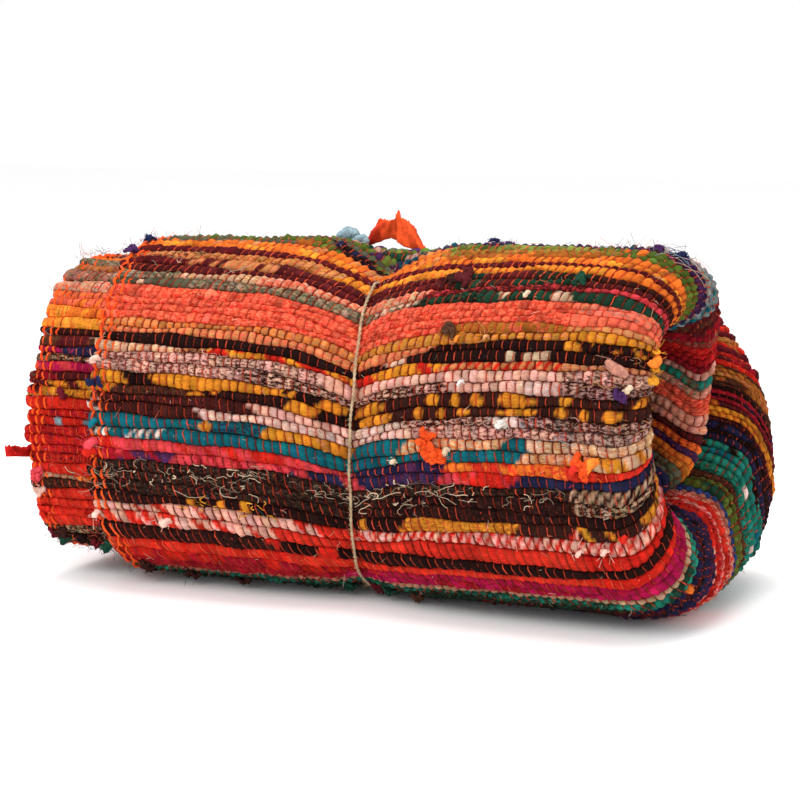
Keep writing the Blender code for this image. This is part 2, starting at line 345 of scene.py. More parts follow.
FRONT_ROWS = (
    # left, right, fold, strip, front, fold, strip
    (0.4325, 0.4500, 0.4550, 0.4520, "bottle/black", "navy/orange:spots", "soot"),
    (0.4430, 0.4600, 0.4640, 0.4620, "bottle/black", "bottle/sea:patches", "black/beige"),
    (0.4520, 0.4700, 0.4720, 0.4710, "bottle/sea", "sea/bottle:patches", "soot/bottle"),
    (0.4570, 0.4742, 0.4770, 0.4780, "dusty/wine@-0.02 beige/dusty", "beige", "black/beige"),
    (0.4700, 0.4815, 0.4880, 0.4880, "crimson@-0.02 magenta/crimson:patches", "magenta", "black/soot"),
    (0.4840, 0.4885, 0.4970, 0.4980, "crimson/red:patches@0.02 magenta/crimson", "magenta/crimson",
     "black/beige"),
    (0.4970, 0.4960, 0.5030, 0.5075, "scarlet/red:patches@-0.03 scarlet", "red", "scarlet"),
    (0.5125, 0.5065, 0.5110, 0.5170, "black/soot@-0.07 black/red:patches@0.0 black@0.5", "black",
     "red/scarlet"),
    (0.5230, 0.5205, 0.5210, 0.5265, "blush/scarlet:patches@-0.06 scarlet", "red", "scarlet/red:patches"),
    (0.5330, 0.5320, 0.5320, 0.5360,
     "blush/scarlet:patches@-0.04 scarlet/blush:patches@0.02 blush/red:barber", "blush/red:barber",
     "scarlet"),
    (0.5420, 0.5430, 0.5420, 0.5425,
     "black/soot@-0.16 black/mustard:spots@0.05 mustard/ochre@0.15 soot@0.20 blush/red:barber",
     "soot/mustard:patches", "soot/brown"),
    (0.5515, 0.5525, 0.5510, 0.5500, "black/cream:specks@0.0 black/soot", "black",
     "beige/orange:patches"),
    (0.5610, 0.5625, 0.5600, 0.5585, "black/cream:specks@0.03 black/soot", "black/beige", "red/scarlet"),
    (0.5710, 0.5720, 0.5690, 0.5670, "black/cream:specks@0.20 beige/black:barber", "beige/black:barber",
     "red/wine"),
    (0.5800, 0.5820, 0.5780, 0.5755,
     "crimson/rose:patches@-0.21 purple/crimson:patches@-0.16 rose/crimson:patches@-0.05 "
     "navy/rose:patches@0.03 purple/navy@0.085 rose/red:patches@0.15 navy", "navy", "red/crimson"),
    (0.5885, 0.5900, 0.5850, 0.5840,
     "rose/red:patches@0.0 navy/purple:patches@0.09 scarlet/orange:patches@0.16 orange/scarlet",
     "scarlet", "red/crimson"),
    (0.6000, 0.6000, 0.5950, 0.5920,
     "teal@-0.236 white/teal:barber@-0.218 teal@-0.20 white/teal:barber@-0.172 teal@0.045 "
     "teal/white:patches@0.07 teal@0.155 tan/cream", "cream/mustard:patches", "red/crimson"),
    (0.6115, 0.6105, 0.6060, 0.6000,
     "teal@-0.135 mustard/teal:patches@-0.12 teal/navy@-0.075 mustard/tan:patches@0.0 teal@0.050 "
     "cream/orange@0.14 teal/cream:patches@0.17 cream/tan", "cream/tan", "red/sky:spots"),
    (0.6205, 0.6190, 0.6150, 0.6085,
     "white@-0.235 soot/maroon@-0.135 blush/white@0.01 blush/white@0.06 blush/maroon", "lilac/soot",
     "red/crimson:patches"),
    (0.6290, 0.6265, 0.6230, 0.6170,
     "blush@-0.235 soot/maroon@-0.085 blush@0.01 white/blush@0.05 soot/blush@0.13 white@0.155 soot/lilac",
     "soot/lilac", "scarlet/red"),
    (0.6370, 0.6360, 0.6330, 0.6270,
     "mustard@-0.22 soot/brown@-0.145 mustard/black:patches@-0.12 black/soot@-0.055 mustard@-0.03 "
     "black@0.01 soot/mustard:ovals", "soot/mustard:ovals", "mustard/maroon:patches"),
    (0.6475, 0.6460, 0.6430, 0.6340,
     "mustard@-0.208 black@-0.18 mustard@-0.06 mustard/black:patches@0.01 soot/mustard:ovals",
     "soot/mustard:patches", "mustard/maroon:patches"),
    (0.6570, 0.6550, 0.6520, 0.6410,
     "blush/maroon@-0.10 soot/blush@0.09 blush@0.15 blush/white@0.19 soot/blush:patches", "soot/lilac",
     "crimson/maroon:patches"),
    (0.6665, 0.6650, 0.6620, 0.6490, "blush/maroon@-0.14 blush/soot@-0.03 blush", "blush/soot",
     "magenta/rose:patches"),
    (0.6730, 0.6720, 0.6700, 0.6570,
     "cream/tan@-0.16 maroon/tan@-0.13 mustard/red:patches@0.08 tan/red:barber", "tan/dusty",
     "soot/beige"),
    (0.6810, 0.6800, 0.6780, 0.6640, "black@0.03 black/cream:spots", "black", "navy/magenta:patches"),
    (0.6880, 0.6880, 0.6860, 0.6720, "tan/coral@0.07 black/cream:spots", "black/mustard:patches",
     "maroon/brown:patches"),
    (0.6945, 0.6965, 0.6940, 0.6810, "tan/orange@0.0 mustard/tan", "mustard", "soot/maroon:patches"),
    (0.7015, 0.7030, 0.7000, 0.6900, "coral/scarlet@0.08 ochre/coral:patches@0.5", "tan/coral:patches",
     "amber/orange:patches"),
    (0.7085, 0.7095, 0.7060, 0.7000, "coral/scarlet", "coral", "orange/amber:patches"),
    (0.7155, 0.7160, 0.7110, 0.7080, "coral/scarlet", "coral/dusty", "coral/orange:patches"),
    (0.7255, 0.7225, 0.7160, 0.7160, "coral/scarlet", "coral/dusty", "coral/orange"),
    (0.7335, 0.7320, 0.7220, 0.7270,
     "moss/cream:spots@-0.16 moss/beige@0.01 cream/moss@0.05 bottle/black@0.11 "
     "bottle/cream:patches@0.13 bottle@0.17 cream/bottle:patches@0.205 bottle/cream:spots", "bottle",
     "cream/coral"),
    (0.7420, 0.7380, 0.7260, 0.7380, "moss/beige@-0.175 cream/tan@-0.095 coral/cream@0.06 maroon/rose",
     "rose", "dusty/moss"),
    (0.7495, 0.7455, 0.7310, 0.7500, "maroon/soot@-0.17 maroon@0.08 bottle/maroon:patches", "maroon",
     "ochre/dusty"),
    (0.7590, 0.7520, 0.7360, 0.7620,
     "maroon/wine@-0.175 tan/maroon:patches@-0.085 maroon@0.07 maroon/bottle:patches@0.15 soot/bottle",
     "soot", "moss/beige"),
    (0.7700, 0.7610, 0.7420, 0.7720, "tan/brown@-0.16 tan/ochre@-0.03 amber/orange",
     "orange/amber:patches", "orange"),
    (0.7805, 0.7670, 0.7470, 0.7820, "maroon/wine", "maroon", "wine"),
    (0.7900, 0.7755, 0.7520, 0.7920, "orange/amber:patches", "amber/orange:patches", "orange/amber"),
    (0.8020, 0.7860, 0.7570, 0.8020, "orange/tan:patches@0.06 ochre/orange:patches",
     "orange/ochre:patches", "coral"),
    (0.8140, 0.7990, 0.7630, 0.8120,
     "moss/orange:spots@-0.09 green/ochre:patches@-0.05 black/navy:patches@0.0 orange/ochre@0.05 "
     "ochre/leaf", "green", "red"),
    (0.8260, 0.8130, 0.7700, 0.8220,
     "green/moss:patches@-0.06 black/navy:patches@-0.02 green/teal:patches@0.0 orange/tan@0.05 "
     "leaf/green:patches", "green/orange:spots", "maroon"),
)
OVER = (
    # fold, top, fold
    (0.7770, "moss/maroon:patches@0.0 purple/navy", "purple"),
    (0.7840, "green/purple:patches@0.0 navy/teal", "navy/purple"),
    (0.7910, "bottle/lilac:patches@0.02 sky/teal:patches", "sky/beige"),
    (0.7980, "green/leaf:patches", "sky/teal"),
    (0.8070, "sky/blue", "teal/sky:patches"),
    (0.8160, "maroon", "sky/navy:patches"),
    (0.8260, "scarlet/orange:patches", "maroon/teal:patches"),
    (0.8370, "blush/red", "brown/wine:patches"),
    (0.8480, "mustard/ochre", "maroon"),
    (0.8600, "teal", "crimson/maroon:patches"),
    (0.8730, "black/beige", "crimson/wine"),
    (0.8860, "crimson", "crimson/moss"),
    (0.8990, "coral/scarlet", "red/crimson"),
    (0.9110, "moss", "red/crimson"),
    (0.9230, "maroon/rose", "crimson/red"),
    (0.9350, "amber/orange:patches", "crimson/maroon"),
    (0.9500, "cream/tan", "blush/shell"),
    (0.9650, "bottle", "sea/moss:patches"),
    (0.9800, "red", "shell/sea"),
    (0.9940, "scarlet", "coral/red"),
    (1.0090, "navy", "coral/red"),
    (1.0240, "sky/white", "shell/blush"),
    (1.0380, "purple", "shell/blush"),
    (1.0500, "ochre", "soot/wine"),
    (1.0600, "maroon", "orange/scarlet"),
    (1.0710, "coral", "purple/lilac:patches"),
    (1.0820, "rose/white", "orange"),
    (1.0930, "soot", "ochre/orange"),
    (1.1040, "teal", "moss"),
    (1.1150, "mustard", "moss/navy:patches"),
    (1.1260, "red", "navy"),
    (1.1400, "blush/maroon", "navy/purple"),
)
DEEP = (
    "maroon", "orange/amber:patches", "black/beige", "coral", "teal", "red/wine", "cream/tan", "navy",
    "scarlet", "green/brown", "mustard/black:patches", "crimson", "blush/maroon", "purple", "ochre",
    "red", "bottle/cream:spots", "rose/red:patches", "soot", "sky/blue", "amber", "wine",
)
DEEP_PITCH = 0.0111  # the width of a rag deep in the roll
DEEP_STEP = 5  # rags that don't show on the strip take every fifth of DEEP there
END_GAP = 0.001  # left at the rug's inner end
UNDER_FROM, UNDER_EASE = 0.25, 0.17  # from where the rags of UNDER run lower at the left, and over how much
UNDER_LEFT, UNDER_STRIP = 0.019, 0.006  # how much lower they run, and how much less so on the strip
STATION_X = (-0.17, 0.15, -0.28)  # left and right on the front, and on the inner half's strip
STATION_FOLD = -0.045
SKEW = 0.040  # how far a rag climbs the roll as it goes round the fold
SKEW_OVER = (
    # along the rug, share of SKEW
    (0.03, 0.0), (0.30, 1.0), (0.36, 1.0), (0.46, 0.0), (0.80, 0.0), (0.88, 1.0), (1.14, 1.0), (1.30, 0.0),
)
CLIMB_FROM, CLIMB_OVER = -0.055, 0.047  # k where the climb starts, and over how much
SETTLE_FROM, SETTLE_OVER = 0.03, 0.25  # k where it starts to settle, and over how much
WANDER = (
    # how far the edge between two rags strays, over what length, and how much each edge differs
    (0.0011, 0.047, 1.9),
    (0.0009, 0.021, 2.7),
    (0.0006, 0.0093, 1.3),
)
END_MARGIN = 0.003  # from the rug's ends to the middle of a rag
FINEST = 0.0019  # half the width of the finest rag
WARP = 0.0037  # from warp to warp, along a rag
WARP_MARGIN = 0.005  # from a selvedge to the first warp
STRIP_SLACK = 0.006  # how far the rags stand out of the inner selvedge halfway up the front
SLACK_MIDDLE, SLACK_WIDTH = 0.60, 0.055
EVERYWHERE = 9.0  # an x past the end of every rag
PAST_ALL = 5.0  # an x past the ends of all parts of a spec but the last


def parse(spec):
    """The parts of a spec as (colour, second colour, pattern, x where it ends)."""
    parts = []
    for token in spec.split():
        token, _, until = token.partition("@")
        colours, _, pattern = token.partition(":")
        first, _, second = colours.partition("/")
        parts.append((first, second or first, pattern or "flecks", float(until or EVERYWHERE)))
    return parts


def build_chart():
    """For each rag, its edges at the stations (left, right, fold, strip) and its parsed specs."""
    rng = np.random.default_rng(11)
    edges, specs = [(0.0,) * 4], []

    def hidden():
        return DEEP[(len(specs) * DEEP_STEP) % len(DEEP)]

    for upper, colours in UNDER:
        lower = float(smooth((upper - UNDER_FROM) / UNDER_EASE))
        left = upper - UNDER_LEFT * lower
        edges.append((left, upper, upper, left + UNDER_STRIP * lower))
        specs.append((colours, colours, hidden()))
    for left, right, at_fold, at_strip, *colours in FRONT_ROWS:
        edges.append((left, right, at_fold, at_strip))
        specs.append(colours)
    first, last = np.array(edges[-1]), OVER[-1][0]
    for index, (at_fold, top, loop) in enumerate(OVER):
        share = (index + 1) / len(OVER)
        even = first + (last - first) * share
        edges.append((even[0], even[1], at_fold, even[3]))
        specs.append((top, loop, hidden()))
    count = int((RUG_LENGTH - last) / DEEP_PITCH)
    for index in range(count):
        edges.append((last + (RUG_LENGTH - END_GAP - last) * (index + 1) / count,) * 4)
        specs.append((DEEP[int(rng.integers(len(DEEP)))],) * 3)
    return np.array(edges), [[parse(spec) for spec in row] for row in specs]


EDGES, SPECS = build_chart()
COUNT = len(SPECS)
LEADING = [front[0][0] for front, _, _ in SPECS]  # the colour that each rag starts with on the front
MIDDLES = (EDGES[1:] + EDGES[:-1]).mean(axis=1) / 2  # each rag's nominal length along the rug


def edge_wander(edge, k):
    """How far the edge between two rags strays along the rug."""
    return sum(stray * np.sin(k / over + differ * edge) for stray, over, differ in WANDER)


def row_geometry(row, k):
    """Where rag number row lies at each k: its middle along the rug and half its width."""
    nominal = np.full(1, MIDDLES[row])
    left, right, strip = (float(k_at(half, x, nominal)[0]) for half, x in zip((1.0, 1.0, -1.0), STATION_X))
    order = (3, 2, 1, 0)
    place = np.interp(k, (strip, STATION_FOLD, right, left), np.arange(4))
    whole = np.minimum(place.astype(int), 2)
    place = whole + smooth(place - whole)
    low, high = (np.interp(place, np.arange(4), EDGES[edge, order]) + edge_wander(edge, k)
                 for edge in (row, row + 1))
    climb = SKEW * smooth((k - CLIMB_FROM) / CLIMB_OVER) * (1.0 - smooth((k - SETTLE_FROM) / SETTLE_OVER))
    skew_low, skew_high = np.interp(EDGES[row:row + 2].mean(axis=1), *zip(*SKEW_OVER))
    low, high = low + climb * skew_low, high + climb * skew_high
    middle = np.clip((low + high) / 2, END_MARGIN, RUG_LENGTH - END_MARGIN)
    return middle, np.maximum((high - low) / 2, FINEST)


def row_span(row):
    """The turn a rag lies at, its k where x is 0, and k at its outer and its inner selvedge."""
    nominal = np.full(1, MIDDLES[row])
    turn_out, turn_in = (float(turn[0]) for turn in row_turns(nominal))
    *_, start_x, quarter = (float(value[0]) for value in row_loop(nominal))
    origin = quarter + start_x
    slack = STRIP_SLACK * math.exp(-(((MIDDLES[row] - SLACK_MIDDLE) / SLACK_WIDTH) ** 2))
    return (turn_out, origin, origin - float(along_turn(turn_out, EDGE_OUT)),
            float(along_turn(turn_in, EDGE_IN)) - origin - slack)


SPANS = [row_span(row) for row in range(COUNT)]


def warps_over(row):
    """k of the warps that cross face A of a rag. Those that cross face B lie midway between them."""
    _, origin, k_out, k_in = SPANS[row]
    period, shift = 2 * WARP, WARP * (row % 2)
    outer = origin + shift
    steps = math.ceil(-outer / period), math.floor((k_out - WARP_MARGIN - outer) / period) + 1
    outer += period * np.arange(*steps)
    inner, until = shift - origin, outer[0] - 0.6 * period
    steps = math.ceil((k_in + WARP_MARGIN - inner) / period), math.floor((until - inner) / period) + 1
    return np.concatenate([inner + period * np.arange(*steps), outer])


# ---------------- Meshes and materials ----------------
def make_mesh(name, verts, faces, material, colours=None, cloth=None):
    """A mesh object from arrays: verts (n, 3), faces a list of arrays of equal-sized polygons, colours a
    layer's name and its values for each vertex, cloth the UV of each vertex."""
    mesh = bpy.data.meshes.new(name)
    sizes = np.concatenate([np.full(len(f), f.shape[1]) for f in faces])
    loops = np.concatenate([f.ravel() for f in faces])
    mesh.vertices.add(len(verts))
    mesh.vertices.foreach_set("co", np.ascontiguousarray(verts, np.float32).ravel())
    mesh.loops.add(len(loops))
    mesh.loops.foreach_set("vertex_index", loops.astype(np.int32))
    mesh.polygons.add(len(sizes))
    mesh.polygons.foreach_set("loop_start", np.concatenate([[0], np.cumsum(sizes)[:-1]]).astype(np.int32))
    mesh.update(calc_edges=True)
    mesh.shade_smooth()
    for layer, values in (colours or {}).items():
        attribute = mesh.color_attributes.new(layer, "FLOAT_COLOR", "POINT")
        data = np.ones((len(verts), 4), np.float32)
        data[:, :3] = values
        attribute.data.foreach_set("color", data.ravel())
    if cloth is not None:
        layer = mesh.uv_layers.new(name="cloth")
        layer.data.foreach_set("uv", np.ascontiguousarray(cloth[loops], np.float32).ravel())
    mesh.materials.append(material)
    piece = bpy.data.objects.new(name, mesh)
    bpy.context.scene.collection.objects.link(piece)
    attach(piece, "root")
    return piece


class Parts:
    """The parts of one mesh as they are made: their points, their quads and end caps, and their colours."""

    def __init__(self):
        self.verts, self.faces, self.colours, self.count = [], ([], []), [], 0

    def add(self, verts, faces, colours=None):
        self.verts.append(verts)
        for kind, polygons in zip(self.faces, faces):
            kind.append(polygons + self.count)
        if colours is not None:
            self.colours.append(colours)
        self.count += len(verts)

    def make(self, name, material):
        colours = {"rag": np.concatenate(self.colours)} if self.colours else None
        faces = [np.concatenate(kind) for kind in self.faces if kind]
        return make_mesh(name, np.concatenate(self.verts), faces, material, colours)


def bridge(index):
    """Quads between neighbouring points of a grid of indices, open on all sides."""
    return np.stack([index[:-1, :-1], index[1:, :-1], index[1:, 1:], index[:-1, 1:]], axis=-1).reshape(-1, 4)


def tubes(paths, radius, sides, normals):
    """Verts and faces of many thin tubes. paths and normals are (tubes, points, 3)."""
    count, points, _ = paths.shape
    ahead = unit(np.gradient(paths, axis=1))
    side = unit(np.cross(ahead, normals))
    up = np.cross(side, ahead)
    angle = np.arange(sides) / sides * 2 * math.pi
    radius = np.broadcast_to(np.asarray(radius, float), (count, points))[..., None, None]
    ring = np.cos(angle)[:, None] * side[:, :, None, :] + np.sin(angle)[:, None] * up[:, :, None, :]
    verts = (paths[:, :, None, :] + radius * ring).reshape(-1, 3)
    index = np.arange(count * points * sides).reshape(count, points, sides)
    after = np.roll(index, -1, axis=2)
    quads = np.stack([index[:, :-1], after[:, :-1], after[:, 1:], index[:, 1:]], axis=-1).reshape(-1, 4)
    return verts, [quads, np.concatenate([index[:, 0, ::-1], index[:, -1]])]


def above(points, height):
    """The same points, none of them lower than height."""
    points[..., 2] = np.maximum(points[..., 2], height)
    return points


def off_cloth(k, along, height):
    """Points at a height off the cloth's middle, and face A's normals there, for arrays of any shape."""
    here, _, _, normal = cloth_frame(k.ravel(), along.ravel())
    return (here + normal * height.ravel()[:, None]).reshape(*k.shape, 3), normal.reshape(*k.shape, 3)


class Graph:
    """Short calls for building a material's nodes."""

    def __init__(self, name, roughness):
        self.material = bpy.data.materials.new(name)
        self.material.use_nodes = True
        self.nodes, self.links = self.material.node_tree.nodes, self.material.node_tree.links
        self.shader = self.nodes["Principled BSDF"]
        self.shader.inputs["Roughness"].default_value = roughness
        self.shader.inputs["Specular IOR Level"].default_value = 0.05

    def node(self, kind, inputs, **settings):
        """A node with its settings, and its inputs linked where they are given as another node's output."""
        node = self.nodes.new("ShaderNode" + kind)
        for key, value in settings.items():
            setattr(node, key, value)
        for key, value in inputs.items():
            if isinstance(value, bpy.types.NodeSocket):
                self.links.new(value, node.inputs[key])
            else:
                node.inputs[key].default_value = value
        return node

    def place(self):
        return self.node("TexCoord", {}).outputs["Object"]

    def layer(self, name):
        return self.node("Attribute", {}, attribute_name=name).outputs["Color"]

    def noise(self, vector, scale, detail, roughness=0.5, distortion=0.0):
        """Noise from 0 to 1. A scale of three numbers stretches it."""
        if isinstance(scale, tuple):
            vector = self.node("Mapping", {"Vector": vector, "Scale": scale}).outputs["Vector"]
            scale = 1.0
        inputs = {"Vector": vector, "Scale": scale, "Detail": detail, "Roughness": roughness,
                  "Distortion": distortion}
        return self.node("TexNoise", inputs).outputs["Fac"]

    def ramp(self, value, *stops):
        """Two stops, each a position and a grey."""
        node = self.node("ValToRGB", {"Fac": value})
        for element, (position, grey) in zip(node.color_ramp.elements, stops):
            element.position = position
            element.color = (grey, grey, grey, 1.0)
        return node.outputs["Color"]

    def mix(self, factor, first, second, blend="MIX"):
        inputs = {0: factor, 6: first, 7: second}
        return self.node("Mix", inputs, data_type="RGBA", blend_type=blend).outputs[2]

    def shaded(self, factor, colour, value, *stops):
        return self.mix(factor, colour, self.ramp(value, *stops), "MULTIPLY")

    def bump(self, height, distance, strength, **normal):
        inputs = {"Height": height, "Distance": distance, "Strength": strength, **normal}
        return self.node("Bump", inputs).outputs["Normal"]

    def finish(self, colour, normal=None):
        self.links.new(colour, self.shader.inputs["Base Color"])
        if normal is not None:
            self.links.new(normal, self.shader.inputs["Normal"])
        return self.material


def rag_material():
    """Cotton rags: the vertex colour with its painted shade, small flecks of a second colour, creases that
    darken the colour with painted shade in their hollows and lighten it with painted light on their ridges,
    and fibres.
    """
    g = Graph("rag_cotton", 0.95)
    uv = g.node("UVMap", {}, uv_map="cloth").outputs["UV"]
    blots = g.noise(uv, (230.0, 390.0, 1.0), 3.0, 0.65)
    shade = g.noise(uv, (90.0, 150.0, 1.0), 5.0, 0.65)
    creases = g.noise(uv, (170.0, 1500.0, 1.0), 5.0, 0.65, 0.8)
    fibres = g.noise(uv, (2600.0, 1500.0, 1.0), 3.0, 0.7)
    colour = g.mix(g.ramp(blots, (0.46, 0.0), (0.58, 0.90)), g.layer("rag"), g.layer("fleck"))
    colour = g.shaded(0.75, colour, shade, (0.30, 0.55), (0.70, 1.35))
    # Painted shade in the creases' hollows and painted light on their ridges, from the same noise as their
    # bump
    colour = g.shaded(0.55, colour, creases, (0.32, 0.40), (0.62, 1.30))
    return g.finish(colour, g.bump(fibres, 0.0006, 0.8, Normal=g.bump(creases, 0.0022, 0.9)))


def thread_material(name, colour, dark, roughness):
    """Spun thread: two shades along it and a fine twist."""
    g = Graph(name, roughness)
    shade = g.noise(g.place(), 120.0, 4.0, 0.7)
    mixed = g.mix(g.ramp(shade, (0.35, 0.0), (0.65, 1.0)), (*dark, 1.0), (*colour, 1.0))
    return g.finish(mixed, g.bump(g.noise(g.place(), 1400.0, 2.0), 0.0004, 0.6))


def loose_thread_material():
    """Loose fibres, each in its own colour, darkened with painted shade where their bump dips and lightened
    with painted light where it rises.
    """
    g = Graph("loose_thread", 0.9)
    shade = g.noise(g.place(), 500.0, 3.0)
    return g.finish(g.shaded(0.6, g.layer("rag"), shade, (0.3, 0.6), (0.7, 1.3)), g.bump(shade, 0.0006, 0.6))


def scrap_material():
    """Thin cotton, each scrap in its own colour, with a fine weave and soft dents; painted shade darkens the
    dents and painted light brightens the rises between them.
    """
    g = Graph("loose_rag_cotton", 0.95)
    shade = g.noise(g.place(), 160.0, 5.0, 0.7)
    weave = g.noise(g.place(), 1800.0, 2.0)
    return g.finish(g.shaded(0.8, g.layer("rag"), shade, (0.3, 0.55), (0.7, 1.3)),
                    g.bump(weave, 0.0004, 0.7, Normal=g.bump(shade, 0.002, 0.5)))


RAGS = rag_material()
SELVEDGE = thread_material("selvedge_thread", (0.90, 0.120, 0.018), (0.66, 0.050, 0.012), 0.9)
TWINE_FIBRE = thread_material("twine_fibre", (0.58, 0.43, 0.27), (0.30, 0.20, 0.11), 0.95)
LOOSE = loose_thread_material()
SCRAP = scrap_material()

# ---------------- Rags ----------------
SIDES = 8
ANGLES = np.arange(SIDES) / SIDES * 2 * math.pi
SECTION_U = np.sign(np.cos(ANGLES)) * np.abs(np.cos(ANGLES)) ** 0.85  # a rag's section, across the rag
SECTION_H = np.sign(np.sin(ANGLES)) * np.abs(np.sin(ANGLES)) ** 0.90  # and off the cloth
PLUMP = 1.10  # a rag's thickness as a share of the cloth's
FULL_WIDTH = 0.0048  # rags that are finer than this, in half their width, are also thinner
SWELL, LEAST_SWELL, MOST_SWELL = 0.11, 0.76, 1.25  # how much the thickness changes from warp to warp
KNOT, KNOTS = 0.22, 0.05  # how much fatter a knot is, and what share of the stretches has one
VALLEY = 0.36  # how deep a warp presses into a rag, as a share of half its thickness; it also sets the painted shade where a warp crosses
FLAT = 0.50  # and how much of that is left where the rags are fine and lie flat
FLAT_COLOURS = ("red", "scarlet", "crimson", "coral", "magenta", "rose", "black", "soot", "navy")
FLAT_THICK, FLAT_WIDE = 0.88, 1.05
FLAT_SEAM_SHADE, SEAM_SHADE = 0.30, 0.54  # how dark the painted shade in the seams between the rags is
CREASE = 0.00028
TIE_PRESS, TIE_PRESS_WIDTH, TIE_PRESS_TURNS = 0.20, 0.006, (330.0, 420.0)
END_STEPS = 4
SHADE_TINT = np.array((0.75, 1.12, 1.22))  # the painted shade between the rags and where warps cross is warm: red falls less than green and blue
BAND_TRIANGLES = 185000

# Where the weave can be seen, by turn and by k
OUTSIDE, UNDERNEATH, FACING = 505.0, (247.0, 292.0), (280.0, 450.0)
STRIP_SHOWN = 0.085  # of the inner half, from its selvedge
SELVEDGE_SHOWN = 0.042
FRONT_FROM, FOLD_FROM = 0.075, -0.16  # k where a rag's front colours and its fold colours start

SPOTS = 0.085  # the share of stretches with a spot
PATCHES = 0.88  # the noise above which a patch shows
BARBER_PITCH, OVAL_PITCH, OVAL_LONG, OVAL_WIDE = 0.0085, 0.031, 0.245, 1.10
FLECK_SHARE = {"flecks": 1.0, "specks": 0.05}  # how much of the second colour the flecks have


def fold_shown(row):
    """How far from the fold's tip the weave of a rag can be seen."""
    if MIDDLES[row] >= 1.20:
        return 0.0
    return 0.100 if MIDDLES[row] < 0.46 else 0.065


def plumpness(half_width):
    return 0.62 + 0.38 * np.minimum(1.0, half_width / FULL_WIDTH)


def cell_steps(row, k, cell):
    """Rings between two warps: more where the rag can be seen, and few where it is buried."""
    turn, origin, k_out, k_in = SPANS[row]
    outside, underneath = turn < OUTSIDE, UNDERNEATH[0] < turn < UNDERNEATH[1]
    if outside and k < k_in + STRIP_SHOWN:
        return 4
    if outside and k > 0.0 and not (underneath and k > 0.1):
        return 4 if FACING[0] < turn < FACING[1] else 3
    if k > k_out - SELVEDGE_SHOWN or k < k_in + SELVEDGE_SHOWN or abs(k) < fold_shown(row):
        return 3
    bent = abs(k) < 0.12 or abs(origin - abs(k) - TIE_X) < 0.09
    return int(cell % (2 if bent else 6) == 0)


def paint(row, k, x, cells, width, rng):
    """The rag's colour and its fleck colour, at each ring point."""
    shape = (len(k), SIDES)
    colour, second = np.zeros((*shape, 3)), np.zeros((*shape, 3))
    slant = SECTION_U * rng.choice([-1.0, 1.0])
    front, fold = k > FRONT_FROM, (k <= FRONT_FROM) & (k > FOLD_FROM)
    past_all = np.full(shape, PAST_ALL)
    last = cells.max() + 2
    knots, run = np.arange(last) * 2 * WARP, k[:, None]
    for parts, zone, at in zip(SPECS[row], (front, fold, ~front & ~fold),
                               (x[:, None] + 0.0055 * slant, past_all, past_all)):
        which = np.searchsorted([part[3] for part in parts], at, side="right").clip(0, len(parts) - 1)
        noise = np.interp(run + 0.004 * slant - k.min(), knots, rng.random(last))
        noise += 0.5 * np.interp(run - 0.003 * slant - k.min(), knots[::3], rng.random(len(knots[::3])))
        beat = k / OVAL_PITCH + 0.45 * np.sin(k / 0.019 + row) + 0.3 * row
        masks = {
            "spots": (rng.random(last) < SPOTS)[cells][:, None] & (np.abs(SECTION_U) < 0.9),
            "patches": noise > PATCHES,
            "barber": ((run + SECTION_U * width[:, None] * 0.8) / BARBER_PITCH) % 1.0 < 0.5,
            "ovals": ((beat % 1.0 - 0.5) / OVAL_LONG)[:, None] ** 2 + (OVAL_WIDE * SECTION_U) ** 2 < 1.0,
        }
        for number, (first, other, pattern, _) in enumerate(parts):
            mine = zone[:, None] & (which == number)
            a, b = (np.array(PALETTE[name]) * DYE for name in (first, other))
            base = np.where(masks.get(pattern, np.zeros(shape, bool))[..., None], b, a)
            colour[mine] = base[mine]
            second[mine] = (base + (b - base) * FLECK_SHARE.get(pattern, 0.0))[mine]
    return colour, second


def ring_places(row):
    """For each ring of a rag: its k, how far it is from one warp to the next, and the stretch it is in."""
    warps = warps_over(row)
    ks, phase, cells = [], [], []
    for cell, (here, after) in enumerate(zip(warps[:-1], warps[1:])):
        steps = cell_steps(row, (here + after) / 2, cell)
        share = np.arange(steps) / max(steps, 1)
        ks.append(here + (after - here) * share)
        phase.append(share)
        cells.append(np.full(steps, cell))
    return (np.append(np.concatenate(ks), warps[-1]), np.append(np.concatenate(phase), 0.0),
            np.append(np.concatenate(cells), len(warps) - 1))


